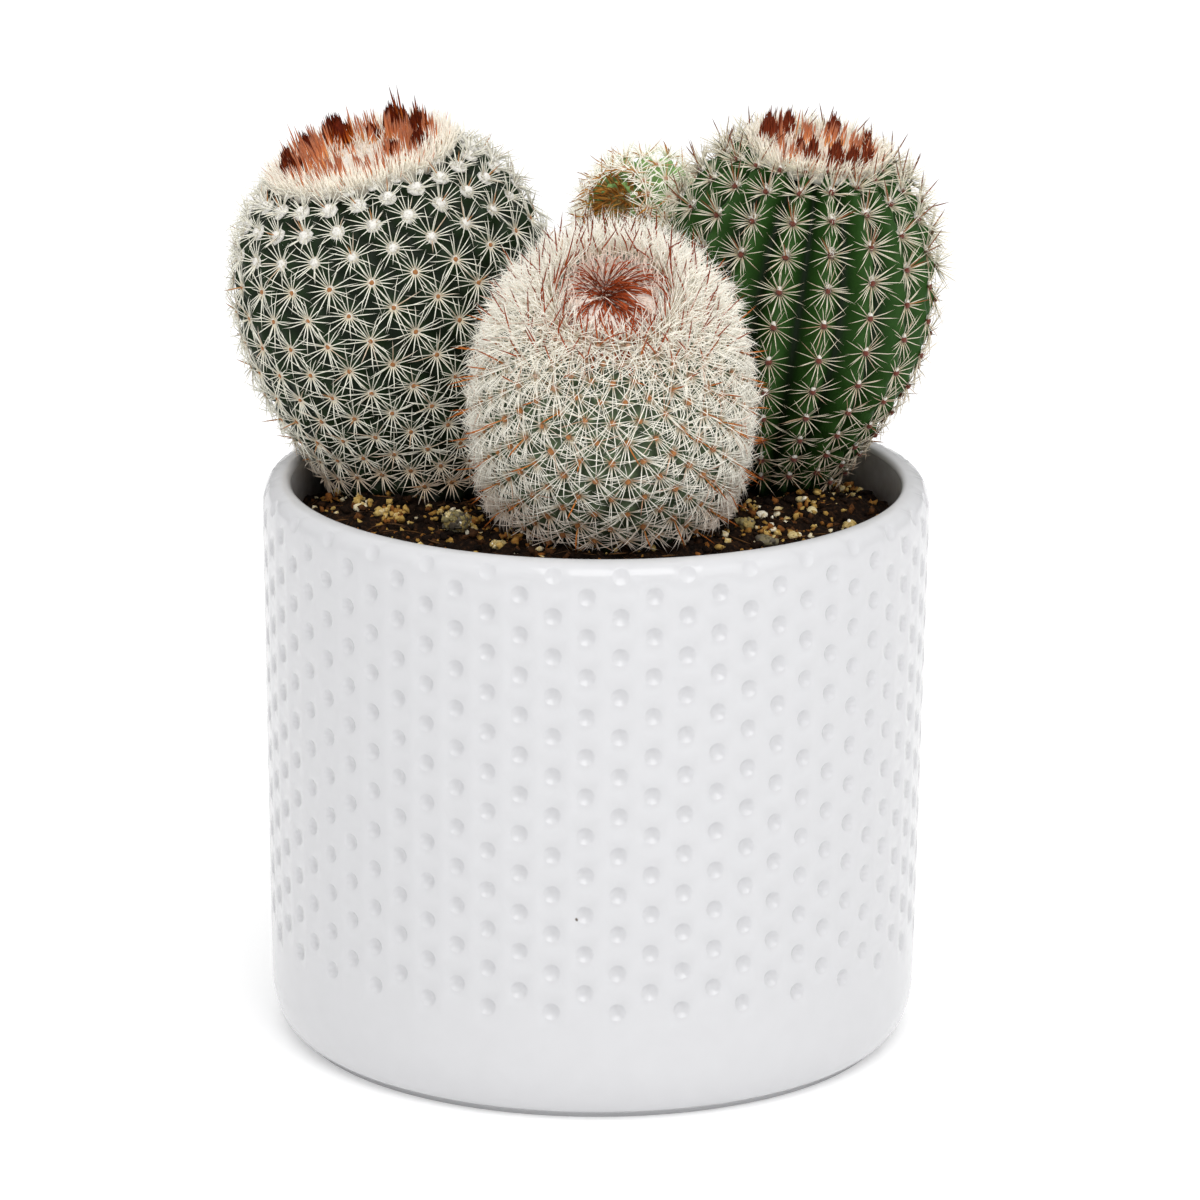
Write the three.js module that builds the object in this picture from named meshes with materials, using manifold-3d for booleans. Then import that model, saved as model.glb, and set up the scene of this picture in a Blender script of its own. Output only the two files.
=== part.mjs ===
// A potted cluster of silver ball cactus: four spiny heads in gritty soil, in a dimpled glazed pot.
// Millimetres, +Z up. The origin is the centre of the pot's foot, on the surface that it stands on.
// The side with the lowest head, which leans out between the two big ones, faces -Y.
import * as THREE from "three";
import { mergeVertices } from "three/addons/utils/BufferGeometryUtils.js";
import Module from "manifold-3d";

const wasm = await Module();
wasm.setup();

// Driving dimensions

const GAP = 0.35; // between pieces that touch on the real plant
const HOLE_GAP = 0.55; // the same round a stem, where both faces are slanted
const BED_GAP = 0.45; // the same round a stone
const WOOL_GAP = 0.5; // the same under a crown's wool
const SUNK = 0.9; // how deep the stones lie in the soil

const POT = {
  height: 111.1,
  rimRadius: 65, // outside, just under the rounded rim
  rimRounding: 6, // height over which the rim rounds in
  footRadius: 58,
  footHeight: 1.3,
  taper: 0.0163, // outward lean of the wall, mm per mm
  rimInner: 59.3,
  innerTaper: 0.02,
  floor: 7, // thickness, foot included
  floorCorner: 5, // between the floor and the inner wall
};

const DIMPLES = {
  columns: 34,
  rows: 6,
  lowest: 24,
  pitch: 14, // up the wall
  radius: 3.4,
  depth: 1.1,
};

// clear is the height above it at which the stems' first tubercles begin.
const SOIL = { level: 101.5, mound: 5, lump: 0.7, edge: 2, rings: 6, clear: 2.4 };

// Each head grows along a bent axis from a root in the soil (base) to the middle of its crown (tip).
// widest is where along the axis it is thickest, crown the radius of the bare crown that its wool covers.
const HEADS = [
  {
    name: "left_head",
    base: [-31, 12, 97],
    bend: [-35.5, 20.5, 128],
    tip: [-46, 17, 170],
    baseRadius: 12.5,
    radius: 29.6,
    widest: 0.67,
    lowerCurve: 1.28,
    shoulder: 0.6,
    crown: 16.5,
    dip: 4,
    lattice: "spiral",
    columns: 14,
    rows: 8,
    tubercle: 2.4,
    radialSpine: 5.2,
    centralSpine: 0,
    colour: 0x4d7050,
    seed: 11,
  },
  {
    name: "front_head",
    base: [2, 2.5, 97],
    bend: [3, -11.5, 119],
    tip: [3, -39.5, 157],
    baseRadius: 14.5,
    radius: 24.4,
    widest: 0.64,
    lowerCurve: 0.9,
    shoulder: 0.9,
    crown: 8,
    dip: 2.5,
    lattice: "spiral",
    columns: 13,
    rows: 8,
    tubercle: 2,
    radialSpine: 5,
    centralSpine: 7.5,
    colour: 0x9fb09c,
    seed: 23,
  },
  {
    name: "right_head",
    base: [33.5, 19, 97],
    bend: [36.2, 18.1, 131],
    tip: [42, 13, 172.5],
    baseRadius: 8.5,
    radius: 25.8,
    widest: 0.63,
    lowerCurve: 1.75,
    shoulder: 0.58,
    crown: 11.5,
    dip: 3,
    lattice: "rib",
    columns: 13,
    rows: 8,
    tubercle: 2.6,
    radialSpine: 5.2,
    centralSpine: 6,
    colour: 0x3f6b33,
    seed: 37,
  },
  {
    name: "back_head",
    base: [11, 38.5, 97],
    bend: [19, 54, 150],
    tip: [3.5, 35, 157],
    baseRadius: 9.5,
    radius: 12.8,
    widest: 0.76,
    lowerCurve: 0.8,
    shoulder: 1,
    crown: 4.6,
    dip: 1.2,
    lattice: "spiral",
    columns: 9,
    rows: 6,
    tubercle: 2.4,
    radialSpine: 4,
    centralSpine: 5,
    colour: 0x5b8a45,
    seed: 41,
  },
];

// Shares of a tubercle's height: its peak over the body, the furrows' depth, the rib's crest between two
// tubercles, and the middle of the areole over its rim.
const TUBERCLE = { peak: 0.62, furrow: 0.35, crest: 0.1, areole: 0.2 };

// The areole: widest radius, and as a share of the room to the nearest furrow.
const AREOLE = { radius: 0.95, share: 0.24 };

// Slope of the spines against the head's surface, and the share of the room to a furrow that they may fill.
// shorten and turnUp are the steps by which a spine that would touch something is bent clear.
const SPINE = {
  rise: 0.42,
  spread: 0.12,
  centralRise: 1.6,
  share: 0.72,
  tries: 7,
  shorten: 0.12,
  turnUp: 0.12,
};

// Room that a spine leaves to the soil, to the pot's rim, and to the surface half-way to another head.
const ROOM = { soil: 2.2, rim: 1.6, head: 0.5 };

// The root under each head: how deep it reaches, and a narrower ring on the way.
const ROOT = { depth: 16, neck: 7, share: 0.62 };

// Wool and young spines on each crown: rings and segments of the pad, its thickness, the spines' lengths.
const CROWNS = {
  left_head: { rings: 4, segments: 20, wool: 2.6, low: 4.5, high: 12, lean: 0.25, colour: 0x8a4a2c },
  front_head: { rings: 3, segments: 14, wool: 1.6, low: 3, high: 5.5, lean: -0.5, colour: 0xc07a62 },
  right_head: { rings: 3, segments: 18, wool: 2.2, low: 4.5, high: 10.5, lean: 0.1, colour: 0x93452f },
  back_head: { rings: 2, segments: 10, wool: 1, low: 3, high: 5, lean: -0.3, colour: 0xa8743a },
};

// Loose grit on the soil: place, radius across and height.
const GRIT = [
  { at: [-27, -20], size: 3.9, high: 5.2, colour: 0xb49a5c },
  { at: [-18.5, -29], size: 2.2, high: 2.6, colour: 0xcdbb8a },
  { at: [29, -16], size: 2.1, high: 3.2, colour: 0x9a9a4e },
  { at: [32.5, -24], size: 2.6, high: 2.4, colour: 0x8b8a84 },
  { at: [38, -19], size: 1.8, high: 2, colour: 0xd0c27c },
  { at: [49, -9], size: 1.9, high: 3, colour: 0xb0a552 },
];

// Small helpers

// A repeatable stream of numbers from 0 to 1.
function numbersFrom(seed) {
  let state = seed >>> 0;
  return () => {
    state = (state + 0x6d2b79f5) >>> 0;
    let n = state;
    n = Math.imul(n ^ (n >>> 15), n | 1);
    n ^= n + Math.imul(n ^ (n >>> 7), n | 61);
    return ((n ^ (n >>> 14)) >>> 0) / 4294967296;
  };
}

// Collects points and triangles, and turns them into a geometry.
class Shell {
  constructor() {
    this.points = [];
    this.faces = [];
  }

  point(v) {
    this.points.push(v.clone());
    return this.points.length - 1;
  }

  face(a, b, c) {
    this.faces.push(a, b, c);
  }

  // A band between two closed rings with as many points each; the upper ring is the second.
  band(lower, upper) {
    lower.forEach((_, i) => {
      const next = (i + 1) % lower.length;
      this.face(lower[i], lower[next], upper[next]);
      this.face(lower[i], upper[next], upper[i]);
    });
  }

  // A fan that closes a ring on one point above it.
  fanUp(ring, top) {
    ring.forEach((p, i) => this.face(p, ring[(i + 1) % ring.length], top));
  }

  fanDown(ring, bottom) {
    ring.forEach((p, i) => this.face(ring[(i + 1) % ring.length], p, bottom));
  }

  // A strip between two columns of points that both run upwards, the second on the right, by the shorter
  // diagonal each time.
  zip(left, right) {
    const apart = (a, b) => this.points[a].distanceTo(this.points[b]);
    let i = 0;
    let j = 0;
    while (i < left.length - 1 || j < right.length - 1) {
      const leftLeft = i < left.length - 1;
      const rightLeft = j < right.length - 1;
      if (leftLeft && (!rightLeft || apart(left[i + 1], right[j]) < apart(left[i], right[j + 1]))) {
        this.face(left[i], right[j], left[i + 1]);
        i += 1;
      } else {
        this.face(left[i], right[j], right[j + 1]);
        j += 1;
      }
    }
  }

  centre(corners) {
    const sum = corners.reduce((total, p) => total.add(this.points[p]), new THREE.Vector3());
    return sum.divideScalar(corners.length);
  }

  // A three-sided spike on a triangle, or the plain triangle where there is no tip.
  drawOut([a, b, c], tip) {
    if (tip === null) {
      this.face(a, b, c);
      return;
    }
    const end = this.point(tip);
    this.face(a, b, end);
    this.face(b, c, end);
    this.face(c, a, end);
  }

  geometry() {
    const flat = new Float32Array(this.points.length * 3);
    this.points.forEach((p, i) => p.toArray(flat, i * 3));
    const made = new THREE.BufferGeometry();
    made.setAttribute("position", new THREE.BufferAttribute(flat, 3));
    made.setIndex(this.faces);
    return made;
  }
}

function solidFrom(geometry) {
  const bare = geometry.clone();
  bare.deleteAttribute("normal");
  bare.deleteAttribute("uv");
  const merged = mergeVertices(bare, 1e-4);
  return new wasm.Manifold(
    new wasm.Mesh({
      numProp: 3,
      vertProperties: new Float32Array(merged.attributes.position.array),
      triVerts: new Uint32Array(merged.index.array),
    }),
  );
}

function geometryFrom(solid) {
  const mesh = solid.getMesh();
  const made = new THREE.BufferGeometry();
  made.setAttribute("position", new THREE.BufferAttribute(new Float32Array(mesh.vertProperties), 3));
  made.setIndex([...mesh.triVerts]);
  return made;
}

function onCircle(angle, radius, z) {
  return new THREE.Vector3(radius * Math.cos(angle), radius * Math.sin(angle), z);
}

// The pot

function wallRadius(z) {
  return POT.rimRadius - Math.max(0, POT.height - POT.rimRounding - z) * POT.taper;
}

function innerRadius(z) {
  return POT.rimInner - Math.max(0, POT.height - z) * POT.innerTaper;
}

// Rings from the top of the dimpled band over the rim and down the inside, as radius and height.
function upperProfile() {
  const { height, rimRadius, rimRounding, rimInner, floor, floorCorner } = POT;
  const corner = floor + floorCorner;
  return [
    [rimRadius, height - rimRounding],
    [rimRadius - 0.5, height - 2.7],
    [rimRadius - 1.7, height - 0.8],
    [rimRadius - 3.2, height],
    [rimInner + 0.9, height - 0.6],
    [innerRadius(height - 2.2), height - 2.2],
    [innerRadius(corner), corner],
    [innerRadius(corner) - floorCorner, floor],
  ];
}

// Rings from the foot's edge out and up to the bottom of the dimpled band.
function lowerProfile() {
  const { footRadius, footHeight } = POT;
  const bandBottom = DIMPLES.lowest - DIMPLES.pitch / 2;
  return [
    [footRadius, 0],
    [footRadius + 0.1, footHeight],
    [footRadius + 2.9, 3.4],
    [wallRadius(0) - 0.9, 8],
    [wallRadius(bandBottom), bandBottom],
  ];
}

function potGeometry() {
  const shell = new Shell();
  const { columns, rows, lowest, pitch, radius, depth } = DIMPLES;
  const step = (2 * Math.PI) / columns;
  const toRing = ([r, z]) => Array.from({ length: columns }, (_, k) => shell.point(onCircle(k * step, r, z)));
  const upper = upperProfile().map(toRing);
  const lower = lowerProfile().map(toRing);
  [upper, lower].forEach((rings) => rings.slice(1).forEach((ring, i) => shell.band(rings[i], ring)));
  shell.fanUp(upper.at(-1), shell.point(new THREE.Vector3(0, 0, POT.floor)));
  shell.fanDown(lower[0], shell.point(new THREE.Vector3(0, 0, 0)));
  // Each dimple is a six-sided pit, one corner up and one down; neighbouring columns are half a row apart.
  const onWall = (k, sideways, z, inward) => {
    const r = wallRadius(z) - inward;
    return shell.point(onCircle(k * step + sideways / r, r, z));
  };
  const leftSides = [];
  const rightSides = [];
  for (let k = 0; k < columns; k += 1) {
    const left = [lower.at(-1)[k]];
    const right = [lower.at(-1)[k]];
    for (let j = 0; j < rows; j += 1) {
      const z = lowest + (j + (k % 2) / 2) * pitch;
      const corner = (turn) =>
        onWall(k, radius * Math.cos(turn), z + radius * Math.sin(turn), 0);
      const pit = onWall(k, 0, z, depth);
      const ring = [-90, -30, 30, 90, 150, 210].map((turn) => corner(THREE.MathUtils.degToRad(turn)));
      shell.fanUp(ring, pit);
      right.push(ring[0], ring[1], ring[2], ring[3]);
      left.push(ring[0], ring[5], ring[4], ring[3]);
    }
    right.push(upper[0][k]);
    left.push(upper[0][k]);
    rightSides.push(right);
    leftSides.push(left);
  }
  for (let k = 0; k < columns; k += 1) {
    shell.zip(rightSides[k], leftSides[(k + 1) % columns]);
  }
  return shell.geometry();
}

// The soil

// Height of the soil's surface: a low mound with lumps.
function soilTop(x, y) {
  const out = Math.hypot(x, y) / innerRadius(SOIL.level);
  const lumps =
    Math.sin(0.55 * x + 1.3) * Math.cos(0.47 * y - 0.6) + 0.6 * Math.sin(1.1 * x - 0.8 * y + 2);
  return SOIL.level + SOIL.mound * (1 - out * out) + SOIL.lump * lumps;
}

function soilBlock() {
  const shell = new Shell();
  const { rings, level } = SOIL;
  const { columns } = DIMPLES;
  const ring = (r, z) =>
    Array.from({ length: columns }, (_, k) => {
      const angle = (k * 2 * Math.PI) / columns;
      const p = onCircle(angle, r, 0);
      p.z = z === null ? soilTop(p.x, p.y) : z;
      return shell.point(p);
    });
  const { floor, floorCorner } = POT;
  const corner = floor + floorCorner;
  const side = innerRadius(level) - GAP;
  const rows = [
    ring(innerRadius(corner) - floorCorner - GAP, floor + GAP),
    ring(innerRadius(corner) - GAP, corner + GAP),
    ring(side, level - SOIL.edge),
  ];
  for (let i = 0; i < rings; i += 1) {
    rows.push(ring(side * (1 - i / rings), null));
  }
  for (let i = 0; i < rows.length - 1; i += 1) {
    shell.band(rows[i], rows[i + 1]);
  }
  shell.fanDown(rows[0], shell.point(new THREE.Vector3(0, 0, POT.floor + GAP)));
  shell.fanUp(rows.at(-1), shell.point(new THREE.Vector3(0, 0, soilTop(0, 0))));
  return solidFrom(shell.geometry());
}

// Every stem stands in a plain hole that fits its buried end, and every stone lies in a bed of its shape.
function soilGeometry(bodies) {
  let soil = soilBlock();
  bodies.forEach((body) => {
    soil = soil.subtract(solidFrom(body.buriedEnd(HOLE_GAP)));
  });
  GRIT.forEach((stone, i) => {
    soil = soil.subtract(solidFrom(gritGeometry(stone, i, BED_GAP)));
  });
  return geometryFrom(soil);
}

// A stone: an icosahedron squashed to its size, with each corner moved a little, sunk a little way in.
function gritGeometry({ at, size, high }, index, grow = 0) {
  const random = numbersFrom(500 + index);
  const stone = new THREE.IcosahedronGeometry(1, 0);
  stone.deleteAttribute("normal");
  stone.deleteAttribute("uv");
  const merged = mergeVertices(stone);
  const place = merged.attributes.position;
  const middle = soilTop(...at) + high / 2 - SUNK;
  for (let i = 0; i < place.count; i += 1) {
    const p = new THREE.Vector3().fromBufferAttribute(place, i);
    const stretch = 0.88 + 0.24 * random();
    const wide = size * stretch + grow;
    const tall = (high / 2) * stretch + grow;
    place.setXYZ(i, at[0] + p.x * wide, at[1] + p.y * wide, middle + p.z * tall);
  }
  return merged;
}

// The heads

// The smooth body of a head, as a surface of two numbers: along, from 0 at the root to 1 at the
// crown's middle, and angle round the axis.
class Body {
  constructor(head) {
    this.head = head;
    this.axis = new THREE.QuadraticBezierCurve3(
      new THREE.Vector3(...head.base),
      new THREE.Vector3(...head.bend),
      new THREE.Vector3(...head.tip),
    );
    this.steps = 200;
    this.length = [0];
    for (let i = 1; i <= this.steps; i += 1) {
      const here = this.outline((2 * i) / this.steps);
      const before = this.outline((2 * (i - 1)) / this.steps);
      const rise = this.axis.getPoint(here.t).distanceTo(this.axis.getPoint(before.t));
      this.length.push(this.length[i - 1] + Math.hypot(rise, here.r - before.r));
    }
  }

  // Place on the axis and radius: w runs from 0 to 1 below the thickest place, and from 1 to 2 above it.
  outline(w) {
    const { widest, baseRadius, radius, lowerCurve, shoulder } = this.head;
    if (w < 1) {
      const swell = Math.sin((Math.PI / 2) * w) ** lowerCurve;
      return { t: widest * w, r: baseRadius + (radius - baseRadius) * swell };
    }
    const turn = Math.min(1, w - 1) * (Math.PI / 2);
    return {
      t: widest + (1 - widest) * Math.sin(turn),
      r: radius * Math.max(0, Math.cos(turn)) ** shoulder,
    };
  }

  // w for a share of the outline's length.
  atShare(share) {
    const wanted = share * this.length[this.steps];
    let i = 1;
    while (i < this.steps && this.length[i] < wanted) {
      i += 1;
    }
    const part = (wanted - this.length[i - 1]) / (this.length[i] - this.length[i - 1]);
    return (2 * (i - 1 + part)) / this.steps;
  }

  point(along, angle, lift = 0) {
    const bare = (share) => {
      const { t, r } = this.outline(this.atShare(Math.min(Math.max(share, 0), 1)));
      const forward = this.axis.getTangent(t);
      const side = new THREE.Vector3(1, 0, 0).addScaledVector(forward, -forward.x).normalize();
      const out = side
        .clone()
        .multiplyScalar(Math.cos(angle))
        .addScaledVector(new THREE.Vector3().crossVectors(forward, side), Math.sin(angle));
      const sink = this.head.dip * Math.exp(-((r / (0.6 * this.head.crown)) ** 2));
      const place = this.axis.getPoint(t).addScaledVector(out, r).addScaledVector(forward, -sink);
      return { place, out, forward };
    };
    const here = bare(along);
    if (lift === 0) {
      return here.place;
    }
    const small = 0.004;
    const tangent = bare(along + small).place.sub(bare(along - small).place);
    const around = new THREE.Vector3().crossVectors(here.forward, here.out);
    const outward = new THREE.Vector3().crossVectors(around, tangent).normalize();
    return here.place.addScaledVector(along > 0.995 ? here.forward : outward, lift);
  }

  outward(along, angle) {
    return this.point(along, angle, 1).sub(this.point(along, angle, 0)).normalize();
  }

  // How far a point lies outside the smooth body, or 0 inside it.
  distance(p) {
    let least = Infinity;
    for (let w = 0; w <= 2; w += 0.08) {
      const { t, r } = this.outline(w);
      const away = p.clone().sub(this.axis.getPoint(t));
      const up = away.dot(this.axis.getTangent(t));
      const across = Math.sqrt(Math.max(0, away.lengthSq() - up * up));
      least = Math.min(least, Math.hypot(up, Math.max(0, across - r)));
    }
    return least;
  }

  // Share of the outline where the first row of tubercles may begin: the whole ring is clear of the soil.
  firstRow() {
    let share = 0;
    let clear = false;
    while (!clear) {
      share += 0.004;
      const ring = Array.from({ length: 24 }, (_, k) => this.point(share, (k * Math.PI) / 12));
      clear = ring.every((p) => p.z > soilTop(p.x, p.y) + SOIL.clear);
    }
    return share;
  }

  // Share of the outline where the radius has shrunk to the crown's.
  crownEdge() {
    let share = 1;
    while (this.outline(this.atShare(share)).r < this.head.crown) {
      share -= 0.002;
    }
    return share;
  }

  // The plain stem below the first row of tubercles, with a short root, as a closed solid.
  // grow widens it, so that it cuts a hole with room for the stem.
  buriedEnd(grow) {
    const shell = new Shell();
    const count = this.head.columns * 2;
    const at = (share, radiusChange, drop) =>
      Array.from({ length: count }, (_, k) => {
        const p = this.point(share, (k * Math.PI) / this.head.columns, radiusChange);
        p.z -= drop;
        return shell.point(p);
      });
    const rings = [...rootRings(this, at, grow), at(this.firstRow(), grow, 0)];
    for (let i = 0; i < rings.length - 1; i += 1) {
      shell.band(rings[i], rings[i + 1]);
    }
    const [x, y, z] = this.head.base;
    shell.fanDown(rings[0], shell.point(new THREE.Vector3(x, y, z - ROOT.depth - grow)));
    const top = this.axis.getPoint(this.outline(this.atShare(this.firstRow())).t);
    shell.fanUp(rings.at(-1), shell.point(top));
    return shell.geometry();
  }
}

// The root's narrow ring and the ring at the base. at makes a ring of the stem, wider by the second number.
function rootRings(body, at, grow) {
  return [at(0, grow - body.head.baseRadius * (1 - ROOT.share), ROOT.neck), at(0, grow, 0)];
}

// Whether a spine from its foot to its tip keeps clear of the soil, the pot's rim and the other heads.
function isClear(foot, tip, body, others) {
  return [0.35, 0.7, 1].every((part) => {
    const p = foot.clone().lerp(tip, part);
    const overRim = p.z > POT.height + ROOM.rim || Math.hypot(p.x, p.y) < POT.rimInner - ROOM.rim;
    const overSoil = p.z > soilTop(p.x, p.y) + ROOM.soil;
    const own = body.distance(p) + ROOM.head;
    return overRim && overSoil && others.every((other) => own < other.distance(p) - ROOM.head);
  });
}

// A spine's tip, shortened and turned up a little at a time until it is clear of what stands near.
function clearTip(foot, heading, outward, reach, body, others) {
  const aim = heading.clone();
  for (let tries = 0; tries < SPINE.tries; tries += 1) {
    const tip = foot.clone().addScaledVector(aim, reach * (1 - SPINE.shorten * tries));
    if (isClear(foot, tip, body, others)) {
      return tip;
    }
    aim.addScaledVector(outward, SPINE.turnUp).normalize();
  }
  return null;
}

// The part of a direction that lies square to another.
function across(direction, normal) {
  return direction.clone().addScaledVector(normal, -direction.dot(normal)).normalize();
}

// One tubercle: its sides rise from the six low points round it to an areole, whose six faces are drawn out
// into spines. The last of them is the central spine, where the head has any.
function raiseTubercle(shell, lowPoints, share, angle, body, others, random) {
  const { head } = body;
  const skin = body.point(share, angle);
  const nearest = Math.min(...others.map((other) => other.distance(skin)));
  const lift = Math.min(head.tubercle * TUBERCLE.peak, nearest / 2 - ROOM.head);
  const peak = body.point(share, angle, lift);
  const outward = body.outward(share, angle);
  const room = Math.min(...lowPoints.map((p) => shell.points[p].distanceTo(peak)));
  const areole = Math.min(AREOLE.radius, room * AREOLE.share);
  const rim = lowPoints.map((p) => {
    const away = across(shell.points[p].clone().sub(peak), outward);
    return shell.point(peak.clone().addScaledVector(away, areole));
  });
  const middle = shell.point(peak.clone().addScaledVector(outward, lift * TUBERCLE.areole));
  lowPoints.forEach((p, n) => {
    const next = (n + 1) % lowPoints.length;
    shell.face(p, lowPoints[next], rim[next]);
    shell.face(p, rim[next], rim[n]);
    const root = [rim[n], rim[next], middle];
    const foot = shell.centre(root);
    const central = head.centralSpine > 0 && next === 0;
    const rise = central ? SPINE.centralRise : SPINE.rise + SPINE.spread * random();
    const longest = central ? head.centralSpine : Math.min(head.radialSpine, room * SPINE.share);
    const heading = across(foot.clone().sub(shell.points[middle]), outward).addScaledVector(outward, rise);
    const reach = longest * (1 - SPINE.spread / 2 + SPINE.spread * random());
    shell.drawOut(root, clearTip(foot, heading.normalize(), outward, reach, body, others));
  });
}

// A head: rows of tubercles raised from the body. A spiral lattice sets each row half a step round from
// the last, and a rib lattice keeps them in line, with furrows between.
function headGeometry(body, others) {
  const shell = new Shell();
  const { head } = body;
  const { columns, rows } = head;
  const random = numbersFrom(head.seed);
  const step = (2 * Math.PI) / columns;
  const start = body.firstRow();
  const end = body.crownEdge() - 0.005;
  const pitch = (end - start) / rows;
  const spiral = head.lattice === "spiral";
  const turn = (i) => (spiral ? (Math.abs(i) % 2) / 2 : 0);
  const wrap = (n) => ((n % columns) + columns) % columns;

  // The low points above row i: near on its own columns, and far half a step round. The first and last
  // rows of them lie in level rings.
  const lowRow = (i) => {
    const level = i === -1 || i === rows - 1;
    const share = start + (i + 0.5) * pitch;
    const edge = i === -1 ? start : end;
    const nearShare = level ? edge : share + pitch * (spiral ? 2 / 3 : 1 / 2);
    const farShare = level ? edge : share + pitch * (spiral ? 1 / 3 : 1 / 2);
    const furrow = level ? 0 : -TUBERCLE.furrow * head.tubercle;
    const nearLift = level || spiral ? furrow : TUBERCLE.crest * head.tubercle;
    return Array.from({ length: columns }, (_, k) => ({
      near: shell.point(body.point(nearShare, (k + turn(i)) * step, nearLift)),
      far: shell.point(body.point(farShare, (k + 0.5 + turn(i)) * step, furrow)),
    }));
  };
  const low = Array.from({ length: rows + 1 }, (_, i) => lowRow(i - 1));

  // The six low points round a tubercle, anticlockwise from the lower right.
  const around = (i, k) => {
    const above = low[i + 1];
    const below = low[i];
    const upper = [above[k].far, above[k].near, above[wrap(k - 1)].far];
    if (!spiral) {
      return [below[k].far, ...upper, below[wrap(k - 1)].far, below[k].near];
    }
    const left = wrap(k - 1 + (i % 2));
    return [below[wrap(left + 1)].near, ...upper, below[left].near, below[left].far];
  };
  for (let i = 0; i < rows; i += 1) {
    for (let k = 0; k < columns; k += 1) {
      const share = start + (i + 0.5) * pitch;
      raiseTubercle(shell, around(i, k), share, (k + turn(i)) * step, body, others, random);
    }
  }

  // A ring of the plain body that lines up with the low points above row i.
  const plainRing = (i, share, lift, drop) =>
    Array.from({ length: columns * 2 }, (_, k) => {
      const p = body.point(share, (k / 2 + turn(i)) * step, lift);
      p.z -= drop;
      return shell.point(p);
    });
  const crown = plainRing(rows - 1, end + (1 - end) * 0.45, 0, 0);
  shell.band(low.at(-1).flatMap(({ near, far }) => [near, far]), crown);
  shell.fanUp(crown, shell.point(body.point(1, 0)));
  const roots = rootRings(body, (share, lift, drop) => plainRing(-1, share, lift, drop), 0);
  shell.band(roots[0], roots[1]);
  shell.band(roots[1], low[0].flatMap(({ near, far }) => [near, far]));
  const [x, y, z] = head.base;
  shell.fanDown(roots[0], shell.point(new THREE.Vector3(x, y, z - ROOT.depth)));
  return shell.geometry();
}

// The crown: a pad of wool that follows the bare crown, with a young spine drawn out of each of its faces.
// The spines stand highest on a ring near the edge, in uneven tufts.
function crownGeometry(body) {
  const { head } = body;
  const { rings, segments, wool, low, high, lean } = CROWNS[head.name];
  const shell = new Shell();
  const random = numbersFrom(head.seed + 7);
  const edge = body.crownEdge() + 0.012;
  const step = (2 * Math.PI) / segments;
  const circle = (share, lift) =>
    Array.from({ length: segments }, (_, k) => shell.point(body.point(share, k * step, lift)));
  const shares = Array.from({ length: rings }, (_, i) => edge + (1 - edge) * (i / rings) ** 0.9);
  const under = shares.map((share) => circle(share, WOOL_GAP));
  const over = shares.map((share, i) => circle(share, i === 0 ? wool * 0.6 : wool));
  for (let i = 0; i < rings - 1; i += 1) {
    shell.band(under[i + 1], under[i]);
  }
  shell.fanDown(under.at(-1), shell.point(body.point(1, 0, WOOL_GAP)));
  shell.band(under[0], over[0]);
  const forward = body.axis.getTangent(1);
  const centre = body.point(1, 0);
  const spine = (root) => {
    const foot = shell.centre(root);
    const out = foot.clone().sub(centre);
    out.addScaledVector(forward, -out.dot(forward));
    const share = out.length() / head.crown;
    const angle = Math.atan2(out.y, out.x);
    const tuft = 0.5 + 0.5 * Math.sin(3 * angle + head.seed) * Math.sin(5 * angle + 1.7);
    const ringed = Math.exp(-(((share - 0.7) / 0.35) ** 2));
    const length = low + (high - low) * ringed * (0.35 + 0.65 * tuft) * (0.75 + 0.25 * random());
    const heading = forward.clone().addScaledVector(out.normalize(), lean * share).normalize();
    shell.drawOut(root, foot.addScaledVector(heading, length));
  };
  for (let i = 0; i < rings - 1; i += 1) {
    over[i].forEach((p, k) => {
      const next = (k + 1) % segments;
      spine([p, over[i][next], over[i + 1][next]]);
      spine([p, over[i + 1][next], over[i + 1][k]]);
    });
  }
  const top = shell.point(body.point(1, 0, wool));
  over.at(-1).forEach((p, k) => spine([p, over.at(-1)[(k + 1) % segments], top]));
  return shell.geometry();
}

// The assembly

function piece(name, geometry, colour, roughness) {
  const finish = { color: colour, roughness, metalness: 0, flatShading: true };
  const material = new THREE.MeshStandardMaterial(finish);
  const mesh = new THREE.Mesh(geometry, material);
  mesh.name = name;
  return mesh;
}

const bodies = HEADS.map((head) => new Body(head));
const plant = new THREE.Group();
plant.add(piece("pot", potGeometry(), 0xe9e9ec, 0.22));
plant.add(piece("soil", soilGeometry(bodies), 0x33241a, 0.95));
bodies.forEach((body) => {
  const { name, colour } = body.head;
  const others = bodies.filter((other) => other !== body);
  plant.add(piece(name, headGeometry(body, others), colour, 0.7));
  plant.add(piece(`${name.split("_")[0]}_crown`, crownGeometry(body), CROWNS[name].colour, 0.85));
});
GRIT.forEach((stone, i) => {
  plant.add(piece(`grit_${i + 1}`, gritGeometry(stone, i), stone.colour, 0.9));
});

export default plant;
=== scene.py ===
"""Looks of a potted cluster of silver ball cactus: a dimpled white pot, gritty soil and four spiny heads.

Laid out as a Blender add-on and run as a script. Shapes are worked out in millimetres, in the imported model's
own frame: the origin is the centre of the pot's foot, +Z is up, and the lowest head leans towards -Y.
"""

import math

import bmesh
import bpy
import numpy as np
from mathutils import Matrix, Vector


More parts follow.
